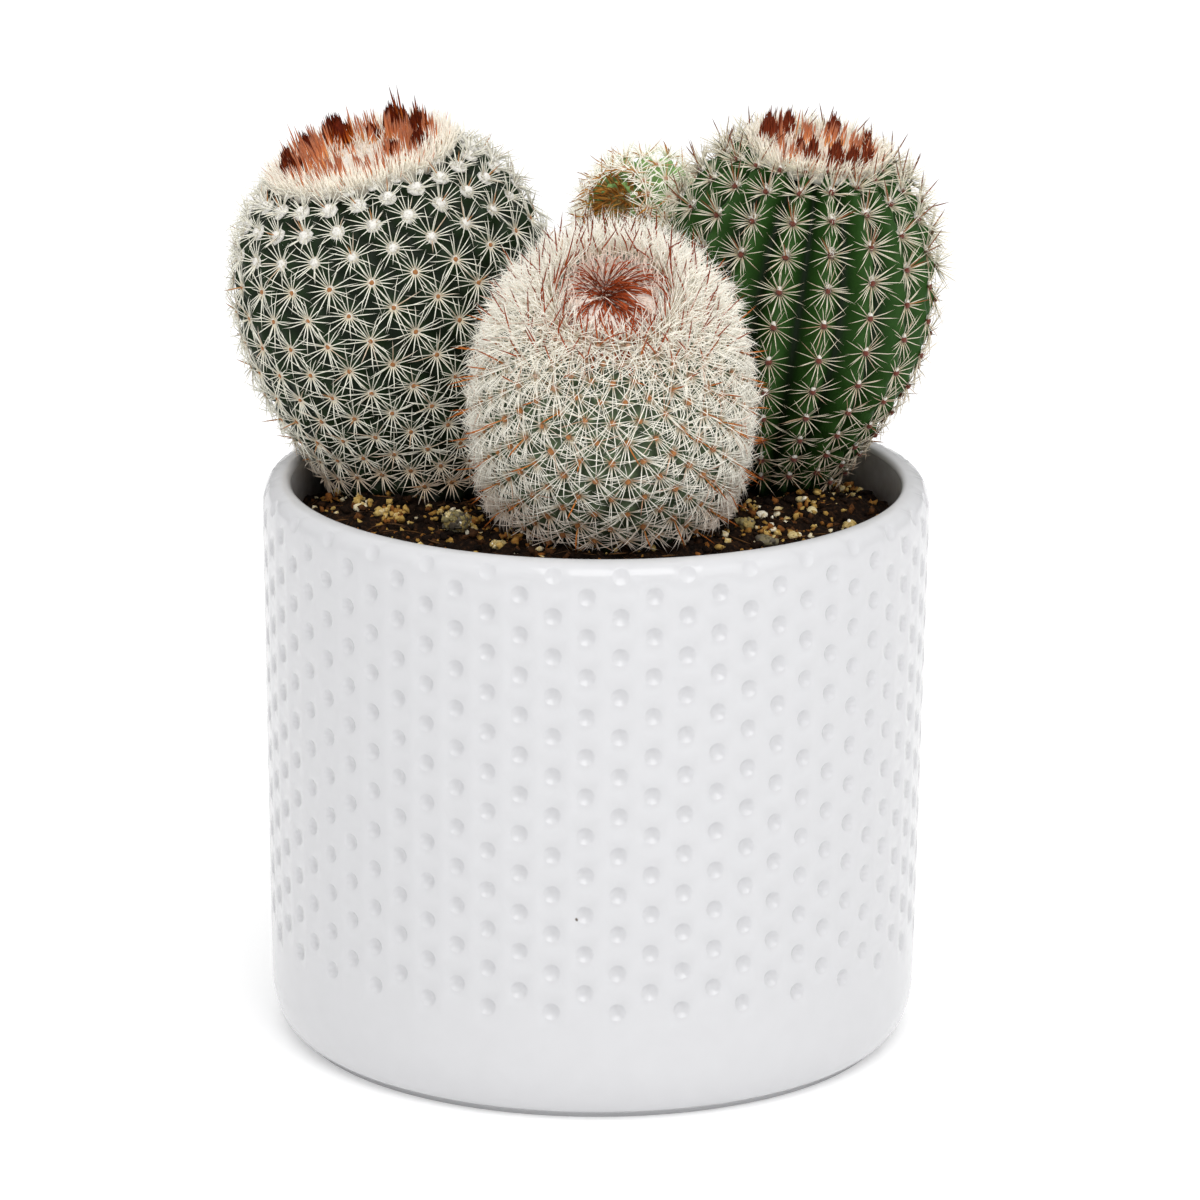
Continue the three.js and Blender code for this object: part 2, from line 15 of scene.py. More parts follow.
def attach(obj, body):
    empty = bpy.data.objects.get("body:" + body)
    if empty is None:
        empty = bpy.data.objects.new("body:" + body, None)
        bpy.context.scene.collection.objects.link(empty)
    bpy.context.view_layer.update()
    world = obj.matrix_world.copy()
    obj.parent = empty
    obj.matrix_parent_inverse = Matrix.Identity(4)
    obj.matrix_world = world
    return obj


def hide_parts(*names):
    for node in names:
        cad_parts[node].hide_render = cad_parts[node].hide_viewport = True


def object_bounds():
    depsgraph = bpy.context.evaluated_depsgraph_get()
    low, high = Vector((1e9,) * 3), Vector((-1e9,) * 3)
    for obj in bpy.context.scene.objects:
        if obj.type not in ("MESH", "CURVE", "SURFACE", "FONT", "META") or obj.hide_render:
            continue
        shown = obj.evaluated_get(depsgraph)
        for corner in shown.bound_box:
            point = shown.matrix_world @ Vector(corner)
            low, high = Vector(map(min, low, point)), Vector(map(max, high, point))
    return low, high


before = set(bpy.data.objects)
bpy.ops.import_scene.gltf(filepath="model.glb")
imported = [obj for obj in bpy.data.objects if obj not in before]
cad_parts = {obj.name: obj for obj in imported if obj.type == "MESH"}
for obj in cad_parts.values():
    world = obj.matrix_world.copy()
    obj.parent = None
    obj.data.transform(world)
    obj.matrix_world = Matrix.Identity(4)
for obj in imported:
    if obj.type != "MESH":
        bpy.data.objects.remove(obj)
CAD_BOX = [list(corner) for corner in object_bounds()]

bl_info = {
    "name": "Potted Ball Cactus",
    "version": (1, 0, 0),
    "blender": (4, 5, 0),
    "location": "3D View > Sidebar > Cactus",
    "description": "Builds a potted cluster of ball cactus over its packed solids",
    "category": "Add Mesh",
}

MM = 0.001
UP = np.array([0.0, 0.0, 1.0])

# Sizes shared with the solids, in millimetres

POT = {
    "height": 111.1,
    "wall_foot": 63.17,  # outside radius that the wall's straight line has at the foot
    "taper": 0.0163,
    "shoulder": 105.1,  # height where the rim's rounding starts
    "rim_outer": 62.2,
    "rim_inner": 59.3,
    "inner_taper": 0.02,
    "foot": 58.05,
    "foot_height": 1.0,
    "corner": 12.0,  # height where the bottom's rounding starts
    "floor": 7.0,
    "floor_corner": 5.0,
}

SOIL = {"level": 101.5, "mound": 5.0, "lump": 0.7}

# Base, bend and tip of the axis; radius at the base and at the thickest place, where that lies on the axis,
# and how the outline curves below and above it; radius of the bare crown, and its dip. Then the columns of
# areoles, the distance between rows, how far a row shifts and a column rises (in steps), and the angle of
# the first one; height of the tubercles, depth of the hollows between them, and depth of the furrows between
# ribs.
HEAD_FIELDS = (
    "base bend tip base_radius radius widest lower_curve shoulder crown dip "
    "columns pitch shift rise phase peak furrow rib"
).split()
HEADS = {
    "left": (
        *((-31, 12, 97), (-35.5, 20.5, 128), (-46, 17, 170), 12.5, 29.6, 0.67, 1.28, 0.6, 16.5, 4.0),
        *(22, 6.0, -1 / 3, 0.0, 0.1, 1.5, 0.9, 0.0),
    ),
    "front": (
        *((2, 2.5, 97), (3, -11.5, 119), (3, -39.5, 157), 14.5, 24.4, 0.64, 0.9, 0.9, 8.0, 2.5),
        *(26, 4.5, 0.5, 0.0, 0.0, 1.2, 0.7, 0.0),
    ),
    "right": (
        *((33.5, 19, 97), (36.2, 18.1, 131), (42, 13, 172.5), 8.5, 25.8, 0.63, 1.75, 0.58, 11.5, 3.0),
        *(18, 7.0, 0.0, 4 / 18, 0.0, 1.6, 0.5, 2.6),
    ),
    "back": (
        *((11, 38.5, 97), (19, 54, 150), (3.5, 35, 157), 9.5, 12.8, 0.76, 0.8, 1.0, 4.6, 1.2),
        *(16, 4.6, 0.5, 0.0, 0.2, 1.5, 0.9, 0.0),
    ),
}

# Room that strands keep from walls and other heads, from the soil, and from the edge of the solids' box
ROOM, SOIL_ROOM, BOX_ROOM = 0.4, 0.2, 0.15

# Sizes of the looks alone, in millimetres

SPECK = (-3.0, -64.05, 41.5)  # the one dark fleck in the glaze
LATTICE = {
    "low": 18.9,  # length along the wall where the first row of cells starts
    "rows": 11,
    "first": 0.0744 - math.pi / 2,  # angle of the first column's middle
    "radius": 64.3,  # mean radius, at which a cell's width is measured
    "shallow": 107.0,  # from here up the dimples run out on the rim's rounding
}
CORNER_STEPS = 13  # points on each rounding of the pot's outline
SOIL_REACH = 57.6  # radius of the soil's top, without its edge

# Where a strand has its rings, as parts of its length: more of them where it bends more
STIFF, BENT, CURLED = (0.0, 0.6), (0.0, 0.4, 0.75), (0.0, 0.25, 0.5, 0.75)

# Bunches of dark young spines on a crown: angle in degrees, distance from the axis, height, spread, strands
TUFTS = {
    "left": [
        (200, 13.5, 8.6, 3.2, 150),
        (146, 12.6, 7.4, 2.6, 90),
        (111, 13.2, 8.0, 3.4, 170),
        (80, 12.0, 5.0, 1.8, 40),
        (318, 8.6, 6.4, 2.5, 100),
        (57, 13.0, 8.2, 3.3, 170),
        (22, 12.6, 7.4, 2.8, 100),
        (340, 12.6, 6.4, 2.6, 100),
    ],
    "right": [
        (180, 9.4, 8.8, 2.0, 80),
        (227, 5.0, 6.8, 1.3, 40),
        (262, 9.3, 8.0, 1.2, 40),
        (286, 10.6, 8.6, 1.7, 70),
        (306, 10.8, 7.0, 2.1, 100),
        (326, 11.2, 6.8, 1.5, 50),
        (20, 10.0, 6.0, 1.6, 50),
        (70, 9.5, 6.5, 1.8, 60),
        (125, 9.5, 6.5, 1.6, 50),
    ],
}


def linear(code):
    """The linear colour of an sRGB hex code."""
    parts = [int(code[i : i + 2], 16) / 255 for i in (1, 3, 5)]
    return tuple(c / 12.92 if c <= 0.04045 else ((c + 0.055) / 1.055) ** 2.4 for c in parts)


# Vectors


def unit(v):
    """Vectors over their own lengths."""
    return v / np.maximum(np.linalg.norm(v, axis=-1, keepdims=True), 1e-12)


def smooth_step(low, high, x):
    """s s (3 - 2 s), where s runs from 0 at low to 1 at high."""
    s = np.clip((x - low) / (high - low), 0, 1)
    return s * s * (3 - 2 * s)


def square_to(heading):
    """Two directions square to each heading and to each other."""
    helper = np.where(np.abs(heading[..., 2:3]) < 0.9, UP, np.array([1.0, 0.0, 0.0]))
    side = unit(np.cross(helper, heading))
    return side, np.cross(heading, side)


# Meshes


class Shape:
    """Points and faces of one mesh, added up from surfaces, with named numbers for each point."""

    def __init__(self):
        self.points, self.quads, self.tris = [], [], []
        self.quad_slots, self.tri_slots = [], []
        self.numbers = {}
        self.count = 0

    def add(self, points, quads=(), tris=(), slot=0, **numbers):
        points = np.asarray(points, float).reshape(-1, 3)
        for faces, kept, slots, size in (
            (quads, self.quads, self.quad_slots, 4),
            (tris, self.tris, self.tri_slots, 3),
        ):
            faces = np.asarray(faces, int).reshape(-1, size)
            kept.append(faces + self.count)
            slots.append(np.full(len(faces), slot))
        for name in set(self.numbers) | set(numbers):
            before = self.numbers.get(name, np.zeros(self.count))
            here = np.broadcast_to(numbers.get(name, 0.0), (len(points),))
            self.numbers[name] = np.concatenate([before, here])
        self.points.append(points)
        self.count += len(points)

    def piece(self, name, materials, slot, replaced=()):
        """The object, in metres at the origin, riding on the plant's one body."""
        points = np.concatenate(self.points) * MM
        quads, tris = np.concatenate(self.quads), np.concatenate(self.tris)
        mesh = bpy.data.meshes.new(name)
        mesh.vertices.add(len(points))
        mesh.vertices.foreach_set("co", points.astype(np.float32).ravel())
        corners = np.concatenate([quads.ravel(), tris.ravel()]).astype(np.int32)
        sizes = np.concatenate([np.full(len(quads), 4), np.full(len(tris), 3)]).astype(np.int32)
        starts = np.concatenate([[0], np.cumsum(sizes)[:-1]]).astype(np.int32)
        mesh.loops.add(len(corners))
        mesh.loops.foreach_set("vertex_index", corners)
        mesh.polygons.add(len(sizes))
        mesh.polygons.foreach_set("loop_start", starts)
        mesh.polygons.foreach_set("use_smooth", np.ones(len(sizes), bool))
        slots = np.concatenate([*self.quad_slots, *self.tri_slots]).astype(np.int32)
        mesh.polygons.foreach_set("material_index", slots)
        for key, values in self.numbers.items():
            layer = mesh.attributes.new(key, "FLOAT", "POINT")
            layer.data.foreach_set("value", values.astype(np.float32))
        mesh.update(calc_edges=True)
        for material in materials:
            mesh.materials.append(material)
        made = bpy.data.objects.new(name, mesh)
        bpy.context.scene.collection.objects.link(made)
        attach(made, "root")
        if replaced:
            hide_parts(*replaced)
        return made


def tube_faces(rows, columns):
    """Faces of a grid of points whose rows close on themselves, outward where the rows run up and turn
    left."""
    i, k = np.meshgrid(np.arange(rows - 1), np.arange(columns), indexing="ij")
    a, b = i * columns + k, i * columns + (k + 1) % columns
    return np.stack([a, b, b + columns, a + columns], -1).reshape(-1, 4)


def fan(ring, pole, upward=True):
    """Triangles from a closed ring of point numbers to a pole."""
    ring = np.asarray(ring)
    turned = np.roll(ring, -1)
    ends = (ring, turned) if upward else (turned, ring)
    return np.stack([*ends, np.full(len(ring), pole)], -1)


def closed_faces(rows, columns):
    """The faces of such a grid, with a pole after it for the first row and one more for the last."""
    last = rows * columns
    ends = [fan(np.arange(columns), last, upward=False), fan(np.arange(last - columns, last), last + 1)]
    return tube_faces(rows, columns), np.concatenate(ends)


def copies(faces, many, size):
    """The same faces for each of many sets of points, with size points in a set."""
    return faces[None] + (np.arange(many) * size)[:, None, None]


def add_tube(shape, rings, **numbers):
    """A closed skin through rings of points, shape (rows, columns, 3), with a pole at the middle of each
    end."""
    rows, columns = rings.shape[:2]
    points = np.concatenate([rings.reshape(-1, 3), [rings[0].mean(0), rings[-1].mean(0)]])
    padded = {}
    for name, values in numbers.items():
        values = np.broadcast_to(values, (rows, columns))
        padded[name] = np.concatenate([values.ravel(), [values[0].mean(), values[-1].mean()]])
    shape.add(points, *closed_faces(rows, columns), **padded)


def add_strands(shape, root, heading, length, width, sag=0.0, stops=STIFF, shade=0.0):
    """Tapering three-sided strands. The middle line is root + heading * length * t + sag * t * t for t from
    0 to 1, the width falls as 1 - 0.4 t, and the last ring closes on a point. Each point knows its t as
    'along'."""
    many = len(root)
    if many == 0:
        return
    length, width, shade = (np.broadcast_to(v, (many,)) for v in (length, width, shade))
    sag = np.broadcast_to(sag, (many, 3))
    side, other = square_to(heading)
    turns = np.arange(3) * 2 * np.pi / 3
    t = np.array(stops)
    straight = heading[:, None] * length[:, None, None] * t[:, None]
    middle = root[:, None] + straight + sag[:, None] * (t * t)[:, None]
    spread = side[:, None] * np.cos(turns)[:, None] + other[:, None] * np.sin(turns)[:, None]
    radius = 0.5 * width[:, None] * (1 - 0.4 * t)[None]
    rings = middle[:, :, None] + spread[:, None] * radius[:, :, None, None]
    tips = root + heading * length[:, None] + sag
    size = 3 * len(t) + 1
    points = np.concatenate([rings.reshape(many, -1, 3), tips[:, None]], 1)
    quads = tube_faces(len(t), 3)
    tris = np.concatenate([[[0, 2, 1]], fan(np.arange(size - 4, size - 1), size - 1)])
    along = np.broadcast_to(np.append(np.repeat(t, 3), 1.0), (many, size)).ravel()
    faces = copies(quads, many, size), copies(tris, many, size)
    shape.add(points, *faces, along=along, shade=np.repeat(shade, size))


def add_lumps(shape, centre, size, up, random, segments, rows, rough, **numbers):
    """Small uneven ellipsoids. A point is centre + size * (cos v cos u, cos v sin u, sin v) in each lump's
    own axes, with its radius changed by up to the share rough; size is (wide, wide, tall)."""
    many = len(centre)
    if many == 0:
        return
    u = np.arange(segments) * 2 * np.pi / segments
    v = ((np.arange(1, rows + 1) / (rows + 1) - 0.5) * np.pi)[:, None]
    ring = np.stack([np.cos(v) * np.cos(u), np.cos(v) * np.sin(u), np.sin(v) * np.ones(segments)], -1)
    ball = np.concatenate([ring.reshape(-1, 3), [[0, 0, -1.0], [0, 0, 1.0]]])
    stretch = 1 + rough * random.uniform(-1, 1, (many, len(ball), 1))
    local = ball[None] * stretch * size[:, None]
    side, other = square_to(up)
    turn = random.uniform(0, 2 * np.pi, (many, 1))
    ahead = side * np.cos(turn) + other * np.sin(turn)
    across = np.cross(up, ahead)
    points = centre[:, None] + (
        local[..., :1] * ahead[:, None] + local[..., 1:2] * across[:, None] + local[..., 2:] * up[:, None]
    )
    faces = [copies(part, many, len(ball)) for part in closed_faces(rows, segments)]
    numbers = {k: np.repeat(np.broadcast_to(v, (many,)), len(ball)) for k, v in numbers.items()}
    shape.add(points, *faces, **numbers)


# The heads' surface


class Head:
    """A head's smooth body round a bent axis, as the solids have it. Along the outline w runs from 0 at the
    root to 1 at the thickest place and 2 at the crown's middle. Below it the radius is base_radius + (radius
    - base_radius) * sin(pi w / 2) ** lower_curve, and above it radius * cos(turn) ** shoulder. A share is a
    part of the outline's length."""

    def __init__(self, name, sizes):
        self.name = name
        self.__dict__.update(zip(HEAD_FIELDS, sizes))
        self.line = [np.array(p, float) for p in (self.base, self.bend, self.tip)]
        self.step = 2 * np.pi / self.columns
        self.w_table = np.linspace(0, 2, 1601)
        t, r = self.outline(self.w_table)
        rise = np.linalg.norm(np.diff(self.axis(t), axis=0), axis=1)
        length = np.concatenate([[0], np.cumsum(np.hypot(rise, np.diff(r)))])
        self.share_table = length / length[-1]
        pitch = self.pitch_at(r)
        rows = np.diff(length) / ((pitch[1:] + pitch[:-1]) / 2)
        self.row_table = np.concatenate([[0], np.cumsum(rows)])
        self.edge = float(self.share_of_radius(self.crown))

    def outline(self, w):
        low = np.sin(np.pi / 2 * np.clip(w, 0, 1)) ** self.lower_curve
        turn = np.clip(w - 1, 0, 1) * np.pi / 2
        below = w < 1
        t = np.where(below, self.widest * w, self.widest + (1 - self.widest) * np.sin(turn))
        upper = self.radius * np.maximum(0, np.cos(turn)) ** self.shoulder
        r = np.where(below, self.base_radius + (self.radius - self.base_radius) * low, upper)
        return t, r

    def pitch_at(self, r):
        """Distance between rows of areoles: they crowd where the head is thinner."""
        return self.pitch * np.maximum(r / self.radius, 0.2) ** 0.6

    def axis(self, t):
        """The axis, bent towards b between a and c: (1 - t) (1 - t) a + 2 t (1 - t) b + t t c."""
        a, b, c = self.line
        t = np.asarray(t)[..., None]
        return (1 - t) ** 2 * a + 2 * t * (1 - t) * b + t * t * c

    def tangent(self, t):
        """The axis's direction."""
        a, b, c = self.line
        t = np.asarray(t)[..., None]
        return unit((1 - t) * (b - a) + t * (c - b))

    def w(self, share):
        return np.interp(share, self.share_table, self.w_table)

    def radius_at(self, share):
        return self.outline(self.w(share))[1]

    def row(self, share):
        return np.interp(share, self.share_table, self.row_table)

    def share_of_row(self, row):
        return np.interp(row, self.row_table, self.share_table)

    def share_of_radius(self, r):
        """The share above the thickest place where the radius is r."""
        top = self.w_table >= 1
        radii = self.outline(self.w_table[top])[1]
        return np.interp(-np.asarray(r, float), -radii, self.share_table[top])

    def skin(self, share, angle):
        """Place on the smooth body, sunk at the crown by dip * exp(-(r / 0.6 crown) ** 2), and the directions
        along the axis and out from it."""
        share, angle = np.broadcast_arrays(share, angle)
        t, r = self.outline(self.w(share))
        forward = self.tangent(t)
        side = unit(np.array([1.0, 0, 0]) - forward[..., :1] * forward)
        other = np.cross(forward, side)
        out = side * np.cos(angle)[..., None] + other * np.sin(angle)[..., None]
        sink = self.dip * np.exp(-((r / (0.6 * self.crown)) ** 2))
        place = self.axis(t) + out * r[..., None] - forward * sink[..., None]
        return place, forward, out

    def frame_at(self, share, angle):
        """Place on the skin, and the directions outward, round the axis and up the outline."""
        place, forward, out = self.skin(share, angle)
        around = np.cross(forward, out)
        small = 0.004
        ahead = self.skin(np.clip(share + small, 0, 1), angle)[0]
        behind = self.skin(np.clip(share - small, 0, 1), angle)[0]
        outward = unit(np.cross(around, ahead - behind))
        return place, outward, around, np.cross(outward, around)

    def areoles(self):
        """Shares and angles of the areoles on the whole head: row j and column k meet at the angle
        (k + shift j) * step, at row j + rise k."""
        rows = np.arange(-8, int(self.row_table[-1]) + 2)
        j, k = np.meshgrid(rows, np.arange(self.columns), indexing="ij")
        row = (j + self.rise * k).ravel()
        angle = ((k + self.shift * j) * self.step + self.phase).ravel()
        inside = (row > 0) & (row < self.row_table[-1])
        return self.share_of_row(row[inside]), angle[inside]

    def bump(self, share, angle):
        """From 0 in the hollows to 1 on the tubercles: the sum of exp(-d d / 2 s s) over the areoles near
        by."""
        row = self.row(share)
        r = self.radius_at(share)
        pitch = self.pitch_at(r)
        spread = 0.30 * np.sqrt(np.maximum(r, 1) * self.step * pitch)
        turned = (angle - self.phase) / self.step
        total = np.zeros(np.broadcast(share, angle).shape)
        first = np.floor(row - self.rise * turned)
        for down in (-1, 0, 1, 2):
            j = first + down
            column = turned - self.shift * j
            nearest = np.round(column)
            for beside in (-1, 0, 1):
                k = nearest + beside
                away = (column - k) * self.step * r
                up = (row - j - self.rise * k) * pitch
                total = total + np.exp(-(away**2 + up**2) / (2 * spread**2))
        return np.minimum(total, 1.0)

    def crest(self, angle):
        """From 0 in the furrow between two ribs to 1 on a rib's crest."""
        column = (angle - self.phase) / self.step
        return np.cos(np.pi * (column - np.round(column))) ** 2

    def relief(self, share, angle):
        """Height over the smooth body, faded out on the bare crown."""
        bump = self.bump(share, angle)
        lift = -self.furrow + (self.peak + self.furrow) * smooth_step(0.05, 1.0, bump)
        if self.rib:
            furrow = (1 - self.crest(angle)) ** 1.3
            lift = np.maximum(lift, -0.25 * self.furrow) * (1 - furrow) - self.rib * furrow
        fade = 1 - smooth_step(self.edge, self.edge + 0.06, share)
        low = smooth_step(0.0, 0.04, share)
        return lift * fade * low

    def distance(self, p):
        """How far points lie outside the smooth body, or 0 inside it."""
        w = np.arange(0, 2.01, 0.08)
        t, r = self.outline(w)
        forward = self.tangent(t)
        away = p[:, None] - self.axis(t)[None]
        up = (away * forward[None]).sum(-1)
        across = np.sqrt(np.maximum(0, (away**2).sum(-1) - up**2))
        return np.hypot(up, np.maximum(0, across - r[None])).min(1)


def inner_radius(z):
    return POT["rim_inner"] - np.maximum(0, POT["height"] - z) * POT["inner_taper"]


def soil_top(x, y):
    """Height of the soil as the solids have it: a low mound with lumps."""
    out = np.hypot(x, y) / inner_radius(SOIL["level"])
    lumps = np.sin(0.55 * x + 1.3) * np.cos(0.47 * y - 0.6) + 0.6 * np.sin(1.1 * x - 0.8 * y + 2)
    return SOIL["level"] + SOIL["mound"] * (1 - out * out) + SOIL["lump"] * lumps


PLANT = {name: Head(name, sizes) for name, sizes in HEADS.items()}



def keep_clear(head, root, tip):
    """The part of each strand, from 1 down to 0.4, that keeps out of the soil, the pot's wall, the other
    heads and the space beyond the solids' box; 0 where none does."""
    others = [other for other in PLANT.values() if other is not head]
    low, high = (np.array(c) / MM for c in CAD_BOX)
    part = np.zeros(len(root))
    for share in (1.0, 0.85, 0.7, 0.55, 0.4):
        left = np.flatnonzero(part == 0)
        p = root[left] + (tip[left] - root[left]) * share
        out = np.hypot(p[:, 0], p[:, 1])
        fine = p[:, 2] > soil_top(p[:, 0], p[:, 1]) + SOIL_ROOM
        fine &= (out < POT["rim_inner"] - ROOM) | (p[:, 2] > POT["height"] + ROOM)
        fine &= np.all((p > low + BOX_ROOM) & (p < high - BOX_ROOM), axis=1)
        for other in others:
            fine &= other.distance(p) > ROOM
        part[left[fine]] = share
    return part


def add_clear_strands(shape, head, root, heading, length, width, sag=0.0, stops=STIFF, shade=0.0):
    """Strands cut short, or left out, where they would run into something."""
    many = len(root)
    length, width, shade = (np.broadcast_to(v, (many,)) for v in (length, width, shade))
    sag = np.broadcast_to(sag, (many, 3))
    part = keep_clear(head, root, root + heading * length[:, None] + sag)
    kept = part > 0
    part = part[kept]
    sag = sag[kept] * (part * part)[:, None]
    add_strands(shape, root[kept], heading[kept], length[kept] * part, width[kept], sag, stops, shade[kept])


# Materials


def rgba(colour):
    """An sRGB hex code or a linear colour as four numbers."""
    return (*(linear(colour) if isinstance(colour, str) else colour), 1.0)


def add_node(tree, kind, output, inputs=None, stops=(), **settings):
    """Adds a shader node and gives its output of that name or number. Settings are its properties, and stops
    its colour ramp as (place, colour). Inputs, by name or number, take a value or another node's output."""
    node = tree.nodes.new(f"ShaderNode{kind}")
    for key, value in settings.items():
        setattr(node, key, value)
    for key, value in (inputs or {}).items():
        socket = node.inputs[key]
        if isinstance(value, bpy.types.NodeSocket):
            tree.links.new(value, socket)
        else:
            socket.default_value = rgba(value) if socket.type == "RGBA" else value
    for _ in stops[2:]:
        node.color_ramp.elements.new(1.0)
    for i, (place, colour) in enumerate(stops):
        node.color_ramp.elements[i].position = place
        node.color_ramp.elements[i].color = rgba(colour)
    return node.outputs[output]


def new_material(name, waves, detail, **noise):
    """A material with its tree, Object coordinates and a noise with so many waves in a metre."""
    material = bpy.data.materials.new(name)
    material.use_nodes = True
    tree = material.node_tree
    tree.nodes.clear()
    place = add_node(tree, "TexCoord", "Object")
    grain = add_node(tree, "TexNoise", "Fac", {"Vector": place, "Scale": waves, "Detail": detail, **noise})
    return material, tree, place, grain


def close_material(material, colour, roughness, shader=(), bump=None):
    """Ends a material's tree with a Principled shader. shader holds more of its inputs, and bump the output
    to use as height, the height in millimetres and the strength."""
    tree = material.node_tree
    inputs = {"Base Color": colour, "Roughness": roughness, **dict(shader)}
    if bump:
        lift = {"Height": bump[0], "Distance": bump[1] * MM, "Strength": bump[2]}
        inputs["Normal"] = add_node(tree, "Bump", "Normal", lift)
    surface = add_node(tree, "BsdfPrincipled", "BSDF", inputs)
    tree.links.new(surface, tree.nodes.new("ShaderNodeOutputMaterial").inputs["Surface"])
    return material


def glaze_material(settings):
    """White tin-opacified glaze, dipped and fired: a soft gloss with a slight orange-peel ripple and one dark
    fleck of iron."""
    material, tree, place, ripple = new_material("Fired white glaze", 220, 2)
    clouds = {0: ripple, 6: settings.glaze, 7: [c * 0.955 for c in settings.glaze]}
    cloud = add_node(tree, "Mix", 2, clouds, data_type="RGBA")
    away = add_node(tree, "VectorMath", "Value", {0: place, 1: [c * MM for c in SPECK]}, operation="DISTANCE")
    edge = {"Value": away, "From Min": 0.55 * MM, "From Max": 0.35 * MM}
    found = add_node(tree, "MapRange", "Result", edge)
    colour = add_node(tree, "Mix", 2, {0: found, 6: cloud, 7: "#5B5148"}, data_type="RGBA")
    return close_material(material, colour, 0.15, {"IOR": 1.52}, (ripple, 0.05, 0.1))


def shaded_peat_glaze_material(settings):
    """The same glaze inside the pot, darker towards the soil: painted shade of the pot's inside together with
    a film of damp peat, both thinning out upwards.
    """
    material, tree, place, splash = new_material("Glaze with painted shade and peat film", 350, 3)
    # Painted shade and peat film: from about 112.5 mm down to 103.5 mm, with a noisy edge, the glaze turns to
    # dark grey-brown.
    height = add_node(tree, "SeparateXYZ", "Z", {"Vector": place})
    level = add_node(tree, "Math", 0, {0: splash, 1: 5.0 * MM, 2: height}, operation="MULTIPLY_ADD")
    band = {"Value": level, "From Min": 103.5 * MM, "From Max": 112.5 * MM}
    clean = add_node(tree, "MapRange", "Result", band)
    colour = add_node(tree, "Mix", 2, {0: clean, 6: "#5E544C", 7: settings.glaze}, data_type="RGBA")
    return close_material(material, colour, 0.4, {"IOR": 1.52})


def bisque_material():
    """Bare stoneware under the foot, wiped clean of glaze: matt, fine grained and cream."""
    material, tree, _, grain = new_material("Unglazed stoneware", 3000, 4)
    colour = add_node(tree, "Mix", 2, {0: grain, 6: "#D8CDBB", 7: "#B5A893"}, data_type="RGBA")
    return close_material(material, colour, 0.85, bump=(grain, 0.1, 1.0))


def soil_material(settings):
    """Peat and bark potting mix, loose and damp: dark matt crumbs, a little lighter where they have dried."""
    material, tree, _, grain = new_material("Peat potting mix", 900, 5, Roughness=0.7)
    wet = [c * 0.35 for c in settings.peat]
    stops = [(0.30, wet), (0.50, settings.peat), (0.64, "#3E2817"), (0.76, "#6A4829")]
    colour = add_node(tree, "ValToRGB", "Color", {"Fac": grain}, stops)
    return close_material(material, colour, 0.92, {"Specular IOR Level": 0.1}, (grain, 0.9, 1.0))


def crumb_material(name, stops, roughness=0.9):
    """Loose bits whose colour comes from each bit's own 'tone', broken up by a fine grain."""
    material, tree, _, grain = new_material(name, 1600, 4)
    tone = add_node(tree, "Attribute", "Fac", attribute_name="tone")
    shift = add_node(tree, "Math", 0, {0: grain, 1: 0.30, 2: tone}, operation="MULTIPLY_ADD")
    colour = add_node(tree, "ValToRGB", "Color", {"Fac": shift}, stops)
    return close_material(material, colour, roughness, {"Specular IOR Level": 0.12}, (grain, 0.25, 1.0))


def flesh_material(name, skin, furrow):
    """Living cactus skin, waxy and green, with a fine dotting of pores. 'hollow' is painted shade: it turns
    the skin colour on the tubercles to the dark furrow colour in the hollows, down the ribs' furrows and near
    the soil. 'wool' whitens it where the young spines' wool lies over it."""
    material, tree, place, mottle = new_material(name, 700, 4)
    # Painted shade: 'hollow' mixes the dark furrow colour into the skin.
    hollow = add_node(tree, "Attribute", "Fac", attribute_name="hollow")
    pair = {0: mottle, 6: [c * 0.8 for c in skin], 7: [min(1, c * 1.2) for c in skin]}
    light = add_node(tree, "Mix", 2, pair, data_type="RGBA")
    green = add_node(tree, "Mix", 2, {0: hollow, 6: light, 7: furrow}, data_type="RGBA")
    wool = add_node(tree, "Attribute", "Fac", attribute_name="wool")
    colour = add_node(tree, "Mix", 2, {0: wool, 6: green, 7: "#F6EFE6"}, data_type="RGBA")
    pores = add_node(tree, "TexNoise", "Fac", {"Vector": place, "Scale": 4000, "Detail": 2})
    return close_material(material, colour, 0.5, {"Specular IOR Level": 0.14}, (pores, 0.06, 0.6))


def spine_material(name, plain, tinted, roughness=0.5, gloss=0.2, glow=0.0):
    """Dry horny spines. 'along' runs from root to tip and 'shade' from plain spines to tinted ones. glow is
    painted light: the spines give off light in their own colour, which brightens them where they shade each
    other and stands for the light that passes through spines as thin as hairs."""
    material, tree, _, grain = new_material(name, 1100, 2)
    along = add_node(tree, "Attribute", "Fac", attribute_name="along")
    shade = add_node(tree, "Attribute", "Fac", attribute_name="shade")
    first, second = (add_node(tree, "ValToRGB", "Color", {"Fac": along}, stops) for stops in (plain, tinted))
    mixed = add_node(tree, "Mix", 2, {0: shade, 6: first, 7: second}, data_type="RGBA")
    varied = add_node(tree, "Mix", 2, {0: grain, 6: "#EFEFEF", 7: "#FFFFFF"}, data_type="RGBA")
    both = {0: 1.0, 6: mixed, 7: varied}
    colour = add_node(tree, "Mix", 2, both, data_type="RGBA", blend_type="MULTIPLY")
    # Painted light: an emission in the spines' own colour.
    light = {"Emission Color": colour, "Emission Strength": glow} if glow else {}
    return close_material(material, colour, roughness, {"Specular IOR Level": gloss, **light})


